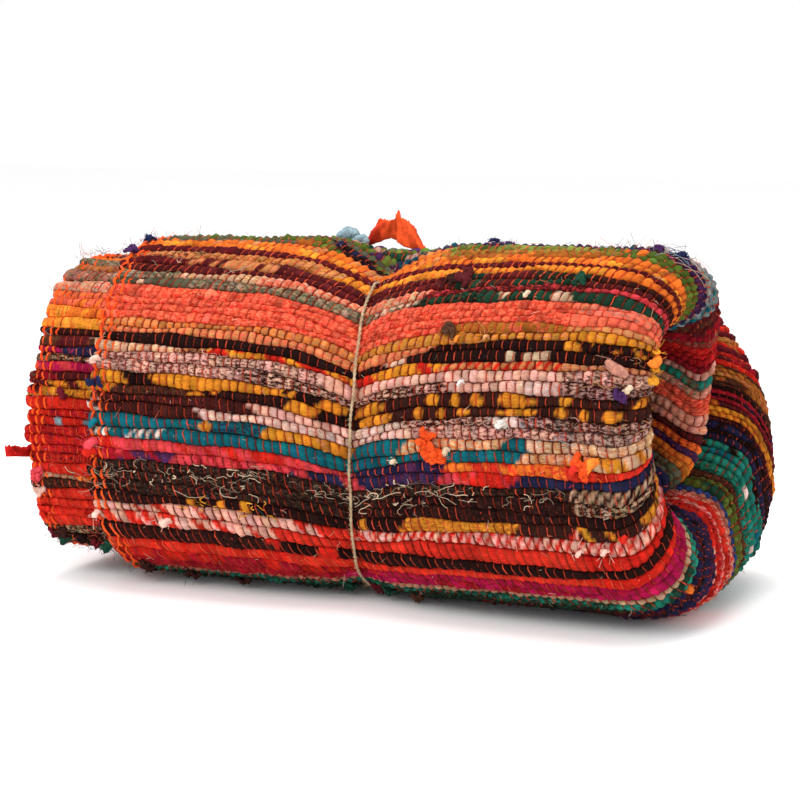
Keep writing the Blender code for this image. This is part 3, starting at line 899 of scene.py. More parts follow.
def rag_rings(row):
    """One rag: each ring point's k, place along the rug, height and colours with their painted shade, and
    what its warps lie on.
    """
    turn, origin, k_out, k_in = SPANS[row]
    rng = np.random.default_rng(1000 + row)
    ks, phase, cells = ring_places(row)
    count = cells[-1] + 2
    flat = LEADING[row] in FLAT_COLOURS
    swell = rng.normal(1.0, SWELL, count).clip(LEAST_SWELL, MOST_SWELL) + KNOT * (rng.random(count) < KNOTS)
    tilt = rng.normal(0.0, 0.07, count)
    at_warp = phase == 0.0
    swell_here = np.where(at_warp, (swell[cells] + swell[np.maximum(cells - 1, 0)]) / 2, swell[cells])
    middle, half_width = row_geometry(row, ks)
    plump = rng.normal(1.0, 0.06) * plumpness(half_width)
    slow = 1.0 + 0.10 * np.sin(ks / 0.017 + row * 2.3) + 0.08 * np.sin(ks / 0.0071 + row * 1.1)
    thick = CLOTH / 2 * PLUMP * plump * slow * swell_here * (FLAT_THICK if flat else 1.0)
    deep = VALLEY * (FLAT if flat else 1.0)
    # A warp presses in face A at each whole phase, and face B halfway between
    dent_a = 1.0 - deep * (1.0 - np.abs(np.sin(math.pi * phase)) ** 0.6)
    dent_b = 1.0 - deep * (1.0 - np.abs(np.cos(math.pi * phase)) ** 0.6)
    lean = -0.0004 * np.cos(2 * math.pi * phase)
    x = origin - np.abs(ks)
    under_tie = TIE_PRESS * np.exp(-(((x - TIE_X) / TIE_PRESS_WIDTH) ** 2))
    pressed = 1.0 - under_tie * (TIE_PRESS_TURNS[0] < turn < TIE_PRESS_TURNS[1])
    width = half_width * (1.0 + 0.06 * np.abs(np.sin(math.pi * phase))) * (0.95 + 0.06 * swell_here)
    width = width * (FLAT_WIDE if flat else 1.0)
    u = middle[:, None] + width[:, None] * (SECTION_U + tilt[cells][:, None] * SECTION_H)
    u += rng.normal(0.0, CREASE, u.shape)
    h = lean[:, None] + SECTION_H * np.where(SECTION_H > 0, (thick * dent_a * pressed)[:, None],
                                             (thick * dent_b)[:, None])
    h += rng.normal(0.0, CREASE, h.shape)
    colour, second = paint(row, ks, x, cells, width, rng)
    tone = rng.normal(1.0, 0.15, count).clip(0.62, 1.35)[cells][:, None, None]
    # Painted shade: the colour darkens towards each rag's sides, where it meets the next rag, tinted warm
    dark = FLAT_SEAM_SHADE if flat else SEAM_SHADE
    seam_shade = (1.02 - dark + dark * np.abs(SECTION_H) ** 0.7)[None, :, None] ** SHADE_TINT
    # Painted shade where a warp crosses the rag and presses into it
    crossing_shade = np.where(at_warp, 1.0 - 0.85 * deep, 1.0)[:, None, None] ** SHADE_TINT
    hue = 1.0 + rng.normal(0.0, 0.05, (count, 3))[cells][:, None, :]
    shade = tone * seam_shade * crossing_shade * hue
    parts = [[np.repeat(ks[:, None], SIDES, axis=1)], [u], [h], [colour * shade], [second * shade]]
    # Round ends that lean towards the neighbouring rag's at the selvedge
    for end, k_edge in ((0, k_in), (-1, k_out)):
        k_edge = k_edge + rng.normal(0.0, 0.0016)
        toward = 1.0 if (row % 2 == 0) == (end == -1) else -1.0
        share = (np.arange(1, END_STEPS + 1) / END_STEPS)[:, None]
        share = share if end else share[::-1]
        ring_u = u[end] + toward * half_width[end] * (1 - np.cos(share * math.pi / 2)) * 0.45
        centre_u = ring_u.mean(axis=1, keepdims=True)
        rings = (
            np.broadcast_to(ks[end] + (k_edge - ks[end]) * np.sin(share * math.pi / 2), (END_STEPS, SIDES)),
            centre_u + (ring_u - centre_u) * (1 - 0.28 * share**3),
            h[end] * (1 - 0.30 * share**3),
            np.repeat((colour * tone * seam_shade)[end][None], END_STEPS, axis=0),
            np.repeat((second * tone * seam_shade)[end][None], END_STEPS, axis=0),
        )
        for part, ring in zip(parts, rings):
            part.insert(len(part) if end else 0, ring)
    return [np.concatenate(part) for part in parts], (float(np.median(thick)), 1.0 - deep)


def place_rings(k, u, h):
    """World points of ring points given as k, along and height off the cloth's middle."""
    _, _, _, normal = cloth_frame(k[:, 0], u.mean(axis=1))
    points = cloth_at(k.ravel(), np.clip(u.ravel(), 0.0, RUG_LENGTH)).reshape(*k.shape, 3)
    return above(points + normal[:, None, :] * h[..., None], 0.0002)


def build_band(name, rows, rings):
    """The piece of some neighbouring rags, with their mean length and its length along the rug."""
    k, u, h, colour, second = (np.concatenate([rings[row][i] for row in rows]) for i in range(5))
    starts = np.cumsum([0] + [len(rings[row][0]) for row in rows])
    quads, caps = [], []
    for begin, finish in zip(starts[:-1], starts[1:]):
        index = np.arange(begin, finish)[:, None] * SIDES + np.arange(SIDES)
        after = np.roll(index, -1, axis=1)
        quads.append(np.stack([index[:-1], index[1:], after[1:], after[:-1]], axis=-1).reshape(-1, 4))
        caps += [index[0], index[-1][::-1]]
    verts, faces = place_rings(k, u, h).reshape(-1, 3), [np.concatenate(quads), np.array(caps)]
    colours = {"rag": colour.reshape(-1, 3), "fleck": second.reshape(-1, 3)}
    piece = make_mesh(name, verts, faces, RAGS, colours, np.stack([k.ravel(), u.ravel()], axis=1))
    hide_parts("rug")
    width = float(np.mean([SPANS[row][2] - SPANS[row][3] for row in rows]))
    return piece, width, float(EDGES[rows[-1] + 1].mean() - EDGES[rows[0]].mean())


def build_rags():
    rags = [rag_rings(row) for row in range(COUNT)]
    rings = [arrays for arrays, _ in rags]
    bands, size = [[]], 0
    for row, arrays in enumerate(rings):
        triangles = len(arrays[0]) * SIDES * 2
        if size + triangles > BAND_TRIANGLES:
            bands.append([])
            size = 0
        bands[-1].append(row)
        size += triangles
    pieces = [build_band(f"rags_{number}", rows, rings) for number, rows in enumerate(bands, 1)]
    return pieces, [info for _, info in rags]


RAG_PIECES, RAG_INFO = build_rags()

# ---------------- Warps ----------------
WARP_COLOUR = np.array((0.58, 0.065, 0.028))
WARP_RADIUS, WARP_SIDES = 0.00054, 3
WARP_SHAKE = 0.0004  # how far a warp strays along a rag
WARP_TONES = (
    # to where along the rug, darkest, lightest
    (0.735, 0.15, 0.70),
    (0.860, 0.35, 1.00),
    (1.900, 0.15, 0.70),
)
BRIGHT_COLOURS = ("coral", "red", "scarlet", "rose", "magenta")
BRIGHT_TONE, STRIP_TONE = (0.60, 1.20), (0.45, 1.10)
WARP_FORM = {
    # points: where they lie across the rag, and their height
    4: ((-0.98, -0.45, 0.45, 0.98), (0.10, 0.86, 0.86, 0.10)),
    3: ((-0.95, 0.0, 0.95), (0.05, 0.97, 0.05)),
}
MARGIN = 0.001  # from the rug's ends to a warp
STRANDS = (
    # selvedge (1 outer, -1 inner), distance from it, radius, 0 or 1 for which rags it passes over
    (1.0, 0.0042, 0.00150, 0), (1.0, 0.0060, 0.00135, 1),
    (1.0, 0.0122, 0.00130, 0), (1.0, 0.0138, 0.00115, 1),
    (1.0, 0.0190, 0.00080, 0),
    (-1.0, 0.0035, 0.00150, 0), (-1.0, 0.0052, 0.00135, 1),
    (-1.0, 0.0098, 0.00125, 0), (-1.0, 0.0113, 0.00115, 1),
    (-1.0, 0.0165, 0.00110, 0),
)


def warp_stretches(row, face, k, rng):
    """The warps that cross one face of a rag where it can be seen: their k, along, height and tone."""
    turn, _, k_out, k_in = SPANS[row]
    thick, dented = RAG_INFO[row]
    outside = turn < OUTSIDE
    if face > 0:
        shown = (k > k_out - 0.03) | (k < k_in + 0.02) | (np.abs(k) < fold_shown(row) - 0.005)
        if outside and not UNDERNEATH[0] < turn < UNDERNEATH[1]:
            shown |= k > 0
    else:
        shown = k < k_in + (STRIP_SHOWN if outside else 0.040)
    k = k[shown]
    points = 4 if outside and turn > UNDERNEATH[1] else 3
    across, profile = (np.array(form) for form in WARP_FORM[points])
    middle, half_width = row_geometry(row, k)
    plump = plumpness(half_width)
    height = thick / np.median(plump) * plump * dented if len(k) else half_width
    strand_k = k[:, None] + rng.normal(0.0, WARP_SHAKE, (len(k), points))
    strand_u = middle[:, None] + half_width[:, None] * across
    strand_h = face * (height[:, None] * profile + 0.0004 + rng.uniform(-0.0002, 0.0004, (len(k), 1)))
    tones = next(tones for until, *tones in WARP_TONES if MIDDLES[row] < until)
    if LEADING[row] in BRIGHT_COLOURS:
        tones = BRIGHT_TONE
    if face < 0 and outside:
        tones = STRIP_TONE
    tone = rng.uniform(*tones, len(k)) + 0.45 * (rng.random(len(k)) < 0.15)
    return points, (strand_k, strand_u, strand_h, tone)


def build_warps():
    """The short stretches of warp that cross a rag where the weave can be seen."""
    parts, groups = Parts(), {4: [], 3: []}
    for row in range(COUNT):
        rng = np.random.default_rng(5000 + row)
        over = warps_over(row)
        for face, k in ((1.0, over), (-1.0, (over[1:] + over[:-1]) / 2)):
            points, stretches = warp_stretches(row, face, k, rng)
            groups[points].append(stretches)
    for points, stretches in groups.items():
        k, u, h, tone = (np.concatenate(arrays) for arrays in zip(*stretches))
        path, normal = off_cloth(k, np.clip(u, MARGIN, RUG_LENGTH - MARGIN), h)
        parts.add(*tubes(above(path, 0.0006), WARP_RADIUS, WARP_SIDES, normal),
                  np.repeat(tone, points * WARP_SIDES)[:, None] * WARP_COLOUR)
    return parts.make("warps", LOOSE)


def build_selvedges():
    """Doubled warps along both selvedges, over one rag and under the next."""
    parts = Parts()
    for number, (side, offset, radius, phase) in enumerate(STRANDS):
        ks, us, hs = [], [], []
        for row, (thick, _) in enumerate(RAG_INFO):
            k = SPANS[row][2 if side > 0 else 3] - side * offset
            middle, half_width = row_geometry(row, np.array([k]))
            over = 1.0 if (row + phase) % 2 == 0 else -1.0
            for share in (-0.55, 0.0, 0.55):
                ks.append(k + 0.0008 * math.sin(row * 1.3 + share * 2 + number * 2))
                us.append(middle[0] + share * half_width[0])
                hs.append(over * (thick * 0.86 + 0.0006) * (1.0 if share == 0 else 0.82))
        path, normal = off_cloth(np.array(ks), np.clip(us, MARGIN, RUG_LENGTH - MARGIN), np.array(hs))
        swell = radius * (1 + 0.15 * np.sin(np.arange(len(path)) * 2.1))
        parts.add(*tubes(above(path, 0.0015)[None], swell[None], 4, normal[None]))
    return parts.make("selvedge_warps", SELVEDGE)


WARP_PIECE, SELVEDGE_PIECE = build_warps(), build_selvedges()

# ---------------- Twine ----------------
TWINE_STEPS = 640
TWIST_LENGTH = 0.0085  # of one turn of its plies
PLY_SIDES, PLY_RADIUS, PLY_OFF = 6, 0.00076, 0.00068
SINK = (-0.062, 0.080)  # Y from where to where the twine is sunk in
SINK_TURNS = (395.0, 570.0)  # turns of the rags that close over it there
FUZZ_COUNT, FUZZ_POINTS, FUZZ_RADIUS = 320, 4, 0.00013


def hull(points):
    """The convex outline of (y, z) points."""
    points = sorted(set(points))

    def chain(run):
        line = []
        for point in run:
            while len(line) > 1 and (
                (line[-1][0] - line[-2][0]) * (point[1] - line[-2][1])
                <= (line[-1][1] - line[-2][1]) * (point[0] - line[-2][0])
            ):
                line.pop()
            line.append(point)
        return line[:-1]

    return np.array(chain(points) + chain(points[::-1]))


def waist_line():
    """The twine's middle line round the waist of the bundle, the ways out from it, and its length."""
    along = np.linspace(0.0, RUG_LENGTH, 400)
    cloth = cloth_at(k_at(1.0, TIE_X, along), along)
    outline = hull([(float(y), float(z)) for _, y, z in cloth])
    closed = np.concatenate([outline, outline[:1]])
    length = np.concatenate([[0.0], np.cumsum(np.linalg.norm(np.diff(closed, axis=0), axis=1))])
    at = np.arange(TWINE_STEPS) / TWINE_STEPS * length[-1]
    ring = np.stack([np.interp(at, length, closed[:, i]) for i in (0, 1)], axis=1)
    for _ in range(6):
        ring = (np.roll(ring, 1, axis=0) + 2 * ring + np.roll(ring, -1, axis=0)) / 4
    ahead = unit(np.roll(ring, -1, axis=0) - np.roll(ring, 1, axis=0))
    out = np.stack([ahead[:, 1], -ahead[:, 0]], axis=1)
    line = ring + out * (CLOTH / 2 + SEAT + TWINE / 2)
    # On top of the bundle the puffed rags close over it
    y, z = line.T
    turns = row_turns(along)[0]
    _, top_y, top_z = cloth[(turns > SINK_TURNS[0]) & (turns < SINK_TURNS[1])].T
    order = np.argsort(top_y)
    closed_over = smooth((y - SINK[0]) / 0.018) * (1 - smooth((y - SINK[1]) / 0.02)) * (z > 0.2)
    line[:, 1] = z + (np.interp(y, top_y[order], top_z[order]) - z) * closed_over
    return np.insert(line, 0, TIE_X, axis=1), np.insert(out, 0, 0.0, axis=1), length[-1]


def curved(start, lean, curl, bend, reach, points, lowest):
    """Paths of short fibres that leave their starts along lean and curl over, none of them below lowest."""
    t = np.linspace(0, 1, points)[None, :, None]
    return above(start[:, None] + reach * (lean[:, None] * t + curl[:, None] * t**2 * bend), lowest)


def build_twine():
    """Two plies twisted round each other, tight round the waist, and fibres that stand off them."""
    line, outward, length = waist_line()
    round_it = np.arange(TWINE_STEPS) / TWINE_STEPS * 2 * math.pi
    twist = round_it * round(length / TWIST_LENGTH)
    sway = 0.0006 * np.sin(round_it * 7) + 0.0004 * np.sin(round_it * 19)
    angle = np.arange(PLY_SIDES) / PLY_SIDES * 2 * math.pi
    index = np.arange(TWINE_STEPS * PLY_SIDES).reshape(TWINE_STEPS, PLY_SIDES)
    after, onward = np.roll(index, -1, axis=1), np.roll(index, -1, axis=0)
    quads = np.stack([index, after, np.roll(onward, -1, axis=1), onward], axis=-1).reshape(-1, 4)
    parts = Parts()
    for ply in (0.0, math.pi):
        path = line + outward * (PLY_OFF * np.sin(twist + ply))[:, None]
        path[:, 0] = TIE_X + sway + PLY_OFF * np.cos(twist + ply)
        path = above(path, 0.0012)
        around = unit(np.roll(path, -1, axis=0) - np.roll(path, 1, axis=0))
        side = unit(np.cross(around, outward))
        up = np.cross(side, around)
        radius = PLY_RADIUS * (1 + 0.10 * np.sin(twist * 3.3 + ply))[:, None, None]
        ring = np.cos(angle)[:, None] * side[:, None] + np.sin(angle)[:, None] * up[:, None]
        parts.add((path[:, None] + radius * ring).reshape(-1, 3), [quads])
    plies = parts.make("twine_plies", TWINE_FIBRE)
    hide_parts("tie")
    rng = np.random.default_rng(77)
    pick = rng.integers(0, TWINE_STEPS, FUZZ_COUNT)
    line, outward = line[pick], outward[pick]
    lean = unit(outward * rng.uniform(0.2, 1.0, (FUZZ_COUNT, 1)) + rng.normal(0, 0.7, (FUZZ_COUNT, 3)))
    lean -= outward * np.minimum((lean * outward).sum(1, keepdims=True), 0)
    curl = rng.normal(0, 0.4, (FUZZ_COUNT, 3))
    reach = rng.uniform(0.002, 0.0065, (FUZZ_COUNT, 1, 1))
    paths = curved(line + outward * 0.001, lean, curl, 0.5, reach, FUZZ_POINTS, 0.0008)
    verts, faces = tubes(paths, FUZZ_RADIUS, 3, np.repeat(outward[:, None], FUZZ_POINTS, axis=1))
    fuzz = make_mesh("twine_fuzz", verts, faces, TWINE_FIBRE)


build_twine()

# ---------------- Rag ends, loops, tufts and loose threads ----------------
TOP_END = (
    # x, y, low, high, bulge
    (-0.0455, 0.0300, 0.2980, 0.3025, 0.0000),
    (-0.0415, 0.0310, 0.3000, 0.3085, 0.0010),
    (-0.0369, 0.0330, 0.3015, 0.3160, 0.0020),
    (-0.0322, 0.0340, 0.3030, 0.3242, 0.0030),
    (-0.0277, 0.0350, 0.3052, 0.3234, 0.0025),
    (-0.0213, 0.0350, 0.3068, 0.3228, 0.0010),
    (-0.0167, 0.0340, 0.3052, 0.3251, -0.0010),
    (-0.0136, 0.0330, 0.3036, 0.3333, -0.0020),
    (-0.0099, 0.0320, 0.3012, 0.3258, 0.0000),
    (-0.0040, 0.0320, 0.2992, 0.3237, 0.0020),
    (0.0014, 0.0330, 0.2970, 0.3179, 0.0030),
    (0.0050, 0.0330, 0.2960, 0.3113, 0.0020),
    (0.0091, 0.0320, 0.2945, 0.3037, 0.0010),
    (0.0149, 0.0300, 0.2925, 0.2983, 0.0000),
)
SIDE_END = (
    # x, y, low, high, bulge
    (-0.3096, -0.1192, 0.1135, 0.1225, 0.0000),
    (-0.3110, -0.1275, 0.1150, 0.1245, 0.0008),
    (-0.3160, -0.1375, 0.1170, 0.1265, 0.0012),
    (-0.3215, -0.1450, 0.1180, 0.1280, 0.0000),
)
FOOT_SHARE = 0.40  # of a rag end, from its left, that is darker


def thicken(piece, thickness):
    shell = piece.modifiers.new("Thickness", "SOLIDIFY")
    shell.thickness, shell.offset = thickness, 0.0


def build_rag_end(name, node, table, colour, steps, across, crumple, seed):
    """The rag end as a thin crumpled sheet with a frayed upper edge."""
    rng = np.random.default_rng(seed)
    rows = np.array(table)
    t = np.linspace(0, len(rows) - 1, steps)
    x, y, low, high, bulge = (np.interp(t, np.arange(len(rows)), column) for column in rows.T)
    s, q = np.meshgrid(t, np.linspace(0, 1, across), indexing="ij")
    grid_x = np.repeat(x[:, None], across, axis=1)
    grid_y = y[:, None] - bulge[:, None] * np.sin(math.pi * q)
    grid_z = low[:, None] + (high - low)[:, None] * q
    # Folds fan out from the highest point
    top = int(np.argmax(high))
    fan = np.arctan2(grid_x - x[top], 1.25 * high[top] - 0.25 * low[top] - grid_z)
    folds = (np.sin(fan * 6.0 + 0.6) + 0.6 * np.sin(fan * 13.0 + 2.0 * q) + 0.35 * np.sin(fan * 27.0 + 1.0)
             + 0.3 * np.sin(s * 3.1 + q * 7.0))
    fray = rng.normal(0, 0.0006, steps)[:, None] * (q > 0.99)
    grid_x = grid_x + crumple * 0.5 * np.cos(s * 4 + q * 3)
    points = np.stack([grid_x, grid_y - crumple * folds, grid_z + fray], axis=-1)
    # Painted shade in the fold valleys and painted highlight on the ridges, from the same folds that shape
    # the sheet
    tone = (0.86 + 0.30 * np.clip(folds, -1, 1)).reshape(-1, 1)
    foot = smooth(1.0 - s / (len(rows) - 1) / FOOT_SHARE).reshape(-1, 1)
    colours = np.array(colour) * tone * (1 - 0.55 * foot) * rng.normal(1, 0.07, (steps * across, 1))
    colours[:, 1] *= 1 - 0.65 * foot[:, 0]
    index = np.arange(steps * across).reshape(steps, across)
    piece = make_mesh(name, points.reshape(-1, 3), [bridge(index)], SCRAP, {"rag": colours})
    thicken(piece, 0.0009)
    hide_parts(node)


build_rag_end("rag_end_arch", "rag_end_top", TOP_END, (0.90, 0.100, 0.024), 84, 18, 0.0011, 3)
build_rag_end("rag_end_left", "rag_end_side", SIDE_END, (0.50, 0.012, 0.010), 18, 7, 0.0004, 4)

# Small rags that stand proud of the weave
TUFTS = (
    # x, along, half, kind, size, colour
    (-0.136, 0.7190, 1, "puff", 0.0090, "coral"),
    (0.092, 0.7480, 1, "scrap", 0.0170, "maroon"),
    (0.078, 0.7450, 1, "scrap", 0.0100, "soot"),
    (0.194, 0.7420, 1, "scrap", 0.0110, "bottle"),
    (0.086, 0.6975, 1, "scrap", 0.0120, "brown"),
    (0.095, 0.6900, 1, "loop", 0.0080, "orange"),
    (0.101, 0.6540, 1, "loop", 0.0085, "white"),
    (0.137, 0.6220, 1, "puff", 0.0080, "white"),
    (0.076, 0.6120, 1, "scrap", 0.0110, "flame"),
    (0.076, 0.6040, 1, "scrap", 0.0150, "flame"),
    (0.080, 0.5980, 1, "scrap", 0.0160, "flame"),
    (0.085, 0.5925, 1, "scrap", 0.0150, "flame"),
    (0.090, 0.5990, 1, "puff", 0.0070, "cream"),
    (0.202, 0.5905, 1, "loop", 0.0160, "scarlet"),
    (0.206, 0.5920, 1, "scrap", 0.0170, "flame"),
    (0.213, 0.5930, 1, "puff", 0.0120, "orange"),
    (0.224, 0.6660, 1, "strip", 0.0260, "dusty"),
    (0.236, 0.6520, 1, "puff", 0.0075, "cream"),
    (0.231, 0.6480, 1, "scrap", 0.0110, "purple"),
    (0.150, 0.7275, 1, "puff", 0.0060, "cream"),
    (0.043, 0.5930, 1, "puff", 0.0060, "cream"),
    (-0.169, 0.5180, 1, "puff", 0.0100, "blush"),
    (-0.231, 0.7660, 1, "scrap", 0.0120, "purple"),
    (-0.238, 0.5830, 1, "puff", 0.0120, "rose"),
    (-0.240, 0.5760, 1, "puff", 0.0110, "red"),
    (-0.237, 0.6560, 1, "puff", 0.0090, "blush"),
    (-0.236, 0.6360, 1, "scrap", 0.0100, "navy"),
    (-0.236, 0.6010, 1, "puff", 0.0080, "teal"),
    (-0.237, 0.5200, 1, "puff", 0.0080, "blush"),
    (-0.228, 0.7900, 1, "scrap", 0.0100, "navy"),
    (-0.205, 0.4600, 1, "scrap", 0.0140, "soot"),
    (-0.235, 0.4850, 1, "scrap", 0.0110, "bottle"),
    (0.085, 0.8420, 1, "scrap", 0.0110, "navy"),
    (0.100, 0.8440, 1, "scrap", 0.0090, "purple"),
    (0.245, 0.8080, 1, "scrap", 0.0100, "purple"),
    (0.262, 0.8000, 1, "scrap", 0.0120, "navy"),
    (0.258, 0.6900, 1, "loop", 0.0080, "mustard"),
    (0.257, 0.6800, 1, "puff", 0.0110, "orange"),
    (0.258, 0.6720, 1, "loop", 0.0090, "mustard"),
    (0.256, 0.6600, 1, "puff", 0.0100, "mustard"),
    (-0.290, 0.4920, -1, "scrap", 0.0120, "soot"),
    (-0.270, 0.4850, -1, "scrap", 0.0120, "black"),
    (-0.300, 0.4870, -1, "scrap", 0.0100, "wine"),
    (-0.279, 0.5970, -1, "puff", 0.0045, "sky"),
    (-0.277, 0.6220, -1, "puff", 0.0095, "wine"),
    (-0.308, 0.6230, -1, "loop", 0.0090, "scarlet"),
    (-0.306, 0.6370, -1, "loop", 0.0080, "brown"),
    (-0.304, 0.5450, -1, "scrap", 0.0130, "rose"),
    (-0.303, 0.5330, -1, "scrap", 0.0110, "blush"),
    (-0.300, 0.5160, -1, "scrap", 0.0120, "red"),
    (-0.292, 0.4780, -1, "scrap", 0.0120, "bottle"),
    (-0.262, 0.4740, -1, "scrap", 0.0130, "wine"),
    (-0.248, 0.4790, -1, "scrap", 0.0110, "soot"),
    (-0.165, 0.4470, 1, "scrap", 0.0120, "soot"),
    (0.020, 0.4480, 1, "scrap", 0.0110, "bottle"),
    (-0.115, 0.4420, 1, "scrap", 0.0130, "soot"),
    (-0.020, 0.4400, 1, "scrap", 0.0120, "bottle"),
    (0.005, 0.4420, 1, "scrap", 0.0140, "wine"),
    (0.045, 0.4400, 1, "scrap", 0.0120, "brown"),
    (0.120, 0.6905, 1, "loop", 0.0080, "tan"),
    (0.226, 0.5270, 1, "loop", 0.0110, "blush"),
    (0.240, 0.5360, 1, "loop", 0.0110, "red"),
    (0.205, 0.5240, 1, "loop", 0.0100, "blush"),
)
ROUND_KINDS = {
    # long, high and thick, as shares of its size
    "puff": (1.0, 0.42, 0.34),
    "loop": (0.6, 0.60, 0.17),
}
FLAT_KINDS = {
    # how many lie together, sway and width as shares of its size, crumpling
    "scrap": (3, 0.16, 0.42, 0.17),
    "strip": (1, 0.02, 0.34, 0.04),
}
# Loops of thick rag behind the notch, which hide where the arch and the twine sink in
LUMPS = (
    # x0, x1, y, z, thickness, colour
    (-0.0690, -0.0525, 0.0300, 0.3105, 0.0058, "sky"),
    (-0.0560, -0.0415, 0.0290, 0.3058, 0.0038, "sky"),
    (-0.0640, -0.0360, 0.0230, 0.2990, 0.0044, "lilac"),
    (-0.0520, -0.0100, 0.0220, 0.2955, 0.0044, "purple"),
    (-0.0300, 0.0080, 0.0230, 0.2945, 0.0044, "moss"),
    (-0.0120, 0.0260, 0.0260, 0.2945, 0.0046, "purple"),
    (0.0020, 0.0400, 0.0240, 0.2955, 0.0044, "green"),
)
FOREMOST = -0.1560  # nothing stands further out at the front
ACROSS = np.linspace(-0.5, 0.5, 5)  # the points across a ribbon
TUFT_STEPS, LUMP_STEPS, LUMP_SIDES = np.linspace(0, 1, 14), np.linspace(0, 1, 26), 10


def held_back(points):
    points[..., 1] = np.maximum(points[..., 1], FOREMOST)
    return points


def surface_point(x, along, half, lift=0.0040):
    """A point off the cloth, and the ways across the rug, along it and out."""
    k = k_at(float(half), np.array([x]), np.array([along]))
    here, across, up, normal = cloth_frame(k, np.array([along]))
    out = normal if half > 0 else -normal
    return here[0] + out[0] * lift, across[0], up[0], out[0]


def ribbon(path, side, width, rumple, rng):
    """A thin folded strip along a path: five points across, with a channel down its middle."""
    count = len(path)
    ahead = unit(np.gradient(path, axis=0))
    side = unit(side - (side * ahead).sum(1, keepdims=True) * ahead)
    up = np.cross(ahead, side)
    curl = 0.35 * (ACROSS**2 * 4 - 0.5)
    wave = rng.normal(0, rumple, (count, len(ACROSS)))
    taper = np.sin(np.linspace(0.25, math.pi - 0.25, count))[:, None] ** 0.5
    points = path[:, None] + width * taper[..., None] * (
        ACROSS[None, :, None] * side[:, None] + (curl[None, :] + wave)[..., None] * up[:, None])
    return points.reshape(-1, 3), bridge(np.arange(count * len(ACROSS)).reshape(count, len(ACROSS)))


def scrap_ribbon(place, kind, size, rng):
    """A scrap or strip that lies loosely on the weave, as a ribbon."""
    here, across, up, out = place
    _, sway, wide, rumple = FLAT_KINDS[kind]
    t = TUFT_STEPS
    if kind == "strip":
        flat = unit(-up * 0.55 - across * 0.80 + rng.normal(0, 0.04, 3))
        arch = 0.10
    else:
        flat = unit(across * rng.normal(0, 1.0) + up * rng.normal(0, 0.8))
        arch = rng.uniform(0.25, 0.45)
    reach = size * rng.uniform(0.7, 1.1)
    start = here + (across * rng.normal(0, 0.15) + up * rng.normal(0, 0.15)) * size
    beside = np.cross(flat, out)
    path = (start + np.outer(reach * (t - 0.35), flat)
            + np.outer(size * arch * np.sin(math.pi * t**0.8) + rng.normal(0, 0.0003, len(t)), out)
            + np.outer(size * sway * np.sin(t * rng.uniform(4, 8) + rng.uniform(0, 6)), beside))
    return ribbon(path, np.repeat(beside[None], len(t), axis=0), size * wide, rumple, rng)


def add_tube(parts, path, radius, sides, up, rough, colour, spread, rng):
    """Adds a fat lumpy tube to parts."""
    ups = np.repeat(up[None], len(path), axis=0)
    verts, (quads, caps) = tubes(path[None], radius[None], sides, ups[None])
    verts = held_back(verts + rng.normal(0, rough, verts.shape))
    if sides == SIDES:
        faces = [quads, caps]
    else:  # an array of faces holds one size of polygon, so larger caps go in as quads
        fans = [caps[:, [0, i, i + 1, i + 2]] for i in range(1, sides - 1, 2)]
        faces = [np.concatenate([quads, *fans])]
    parts.add(verts, faces, colour * rng.normal(1, spread, (len(verts), 1)))


def build_tufts():
    """Flat scraps on the weave, and the round loops, puffs and lumps."""
    rng = np.random.default_rng(23)
    scraps, loops = Parts(), Parts()
    for (x, _, _, kind, size, colour), place in zip(TUFTS, TUFT_PLACES):
        tone = np.array(PALETTE[colour])
        if kind in FLAT_KINDS:
            for _ in range(FLAT_KINDS[kind][0]):
                points, quads = scrap_ribbon(place, kind, size, rng)
                scraps.add(held_back(points), [quads],
                           tone * rng.normal(1, 0.16, (len(points), 1)).clip(0.5, 1.5))
            continue
        here, across, up, out = place
        long, high, thick = ROUND_KINDS[kind]
        t = TUFT_STEPS
        spin = rng.uniform(-0.5, 0.5)
        flat = across * math.cos(spin) + up * math.sin(spin)
        path = (here + np.outer(size * (t - 0.5), flat) * long
                + np.outer(size * high * np.sin(math.pi * t) - 0.001, out)
                + np.outer(size * 0.2 * np.sin(2 * math.pi * t), up))
        fat = size * thick
        radius = fat * (0.55 + 0.45 * np.sin(math.pi * t)) * (1 + 0.14 * np.sin(t * 19 + x * 90))
        add_tube(loops, path, radius, SIDES, up, fat * 0.07, tone, 0.10, rng)
    scraps = scraps.make("rag_scraps", SCRAP)
    thicken(scraps, 0.0008)
    for x0, x1, y, z, fat, colour in LUMPS:
        t = LUMP_STEPS
        bow = np.sin(math.pi * t)
        path = np.stack([x0 + (x1 - x0) * t, y + 0.003 * np.cos(t * 5 + x0 * 50),
                         z - fat * 0.9 + fat * 0.9 * bow + 0.0008 * np.sin(t * 21 + x0 * 200)], axis=1)
        radius = fat * (0.50 + 0.50 * bow**0.5) * (1 + 0.05 * np.sin(t * 19 + x0 * 300))
        tone = np.array(PALETTE[colour])
        add_tube(loops, path, radius, LUMP_SIDES, np.array((0.0, 0.0, 1.0)), fat * 0.025, tone, 0.12, rng)
    loops = loops.make("rag_loops", SCRAP)
    return scraps, loops


TUFT_PLACES = [surface_point(x, along, half) for x, along, half, *_ in TUFTS]
SCRAPS, LOOPS = build_tufts()

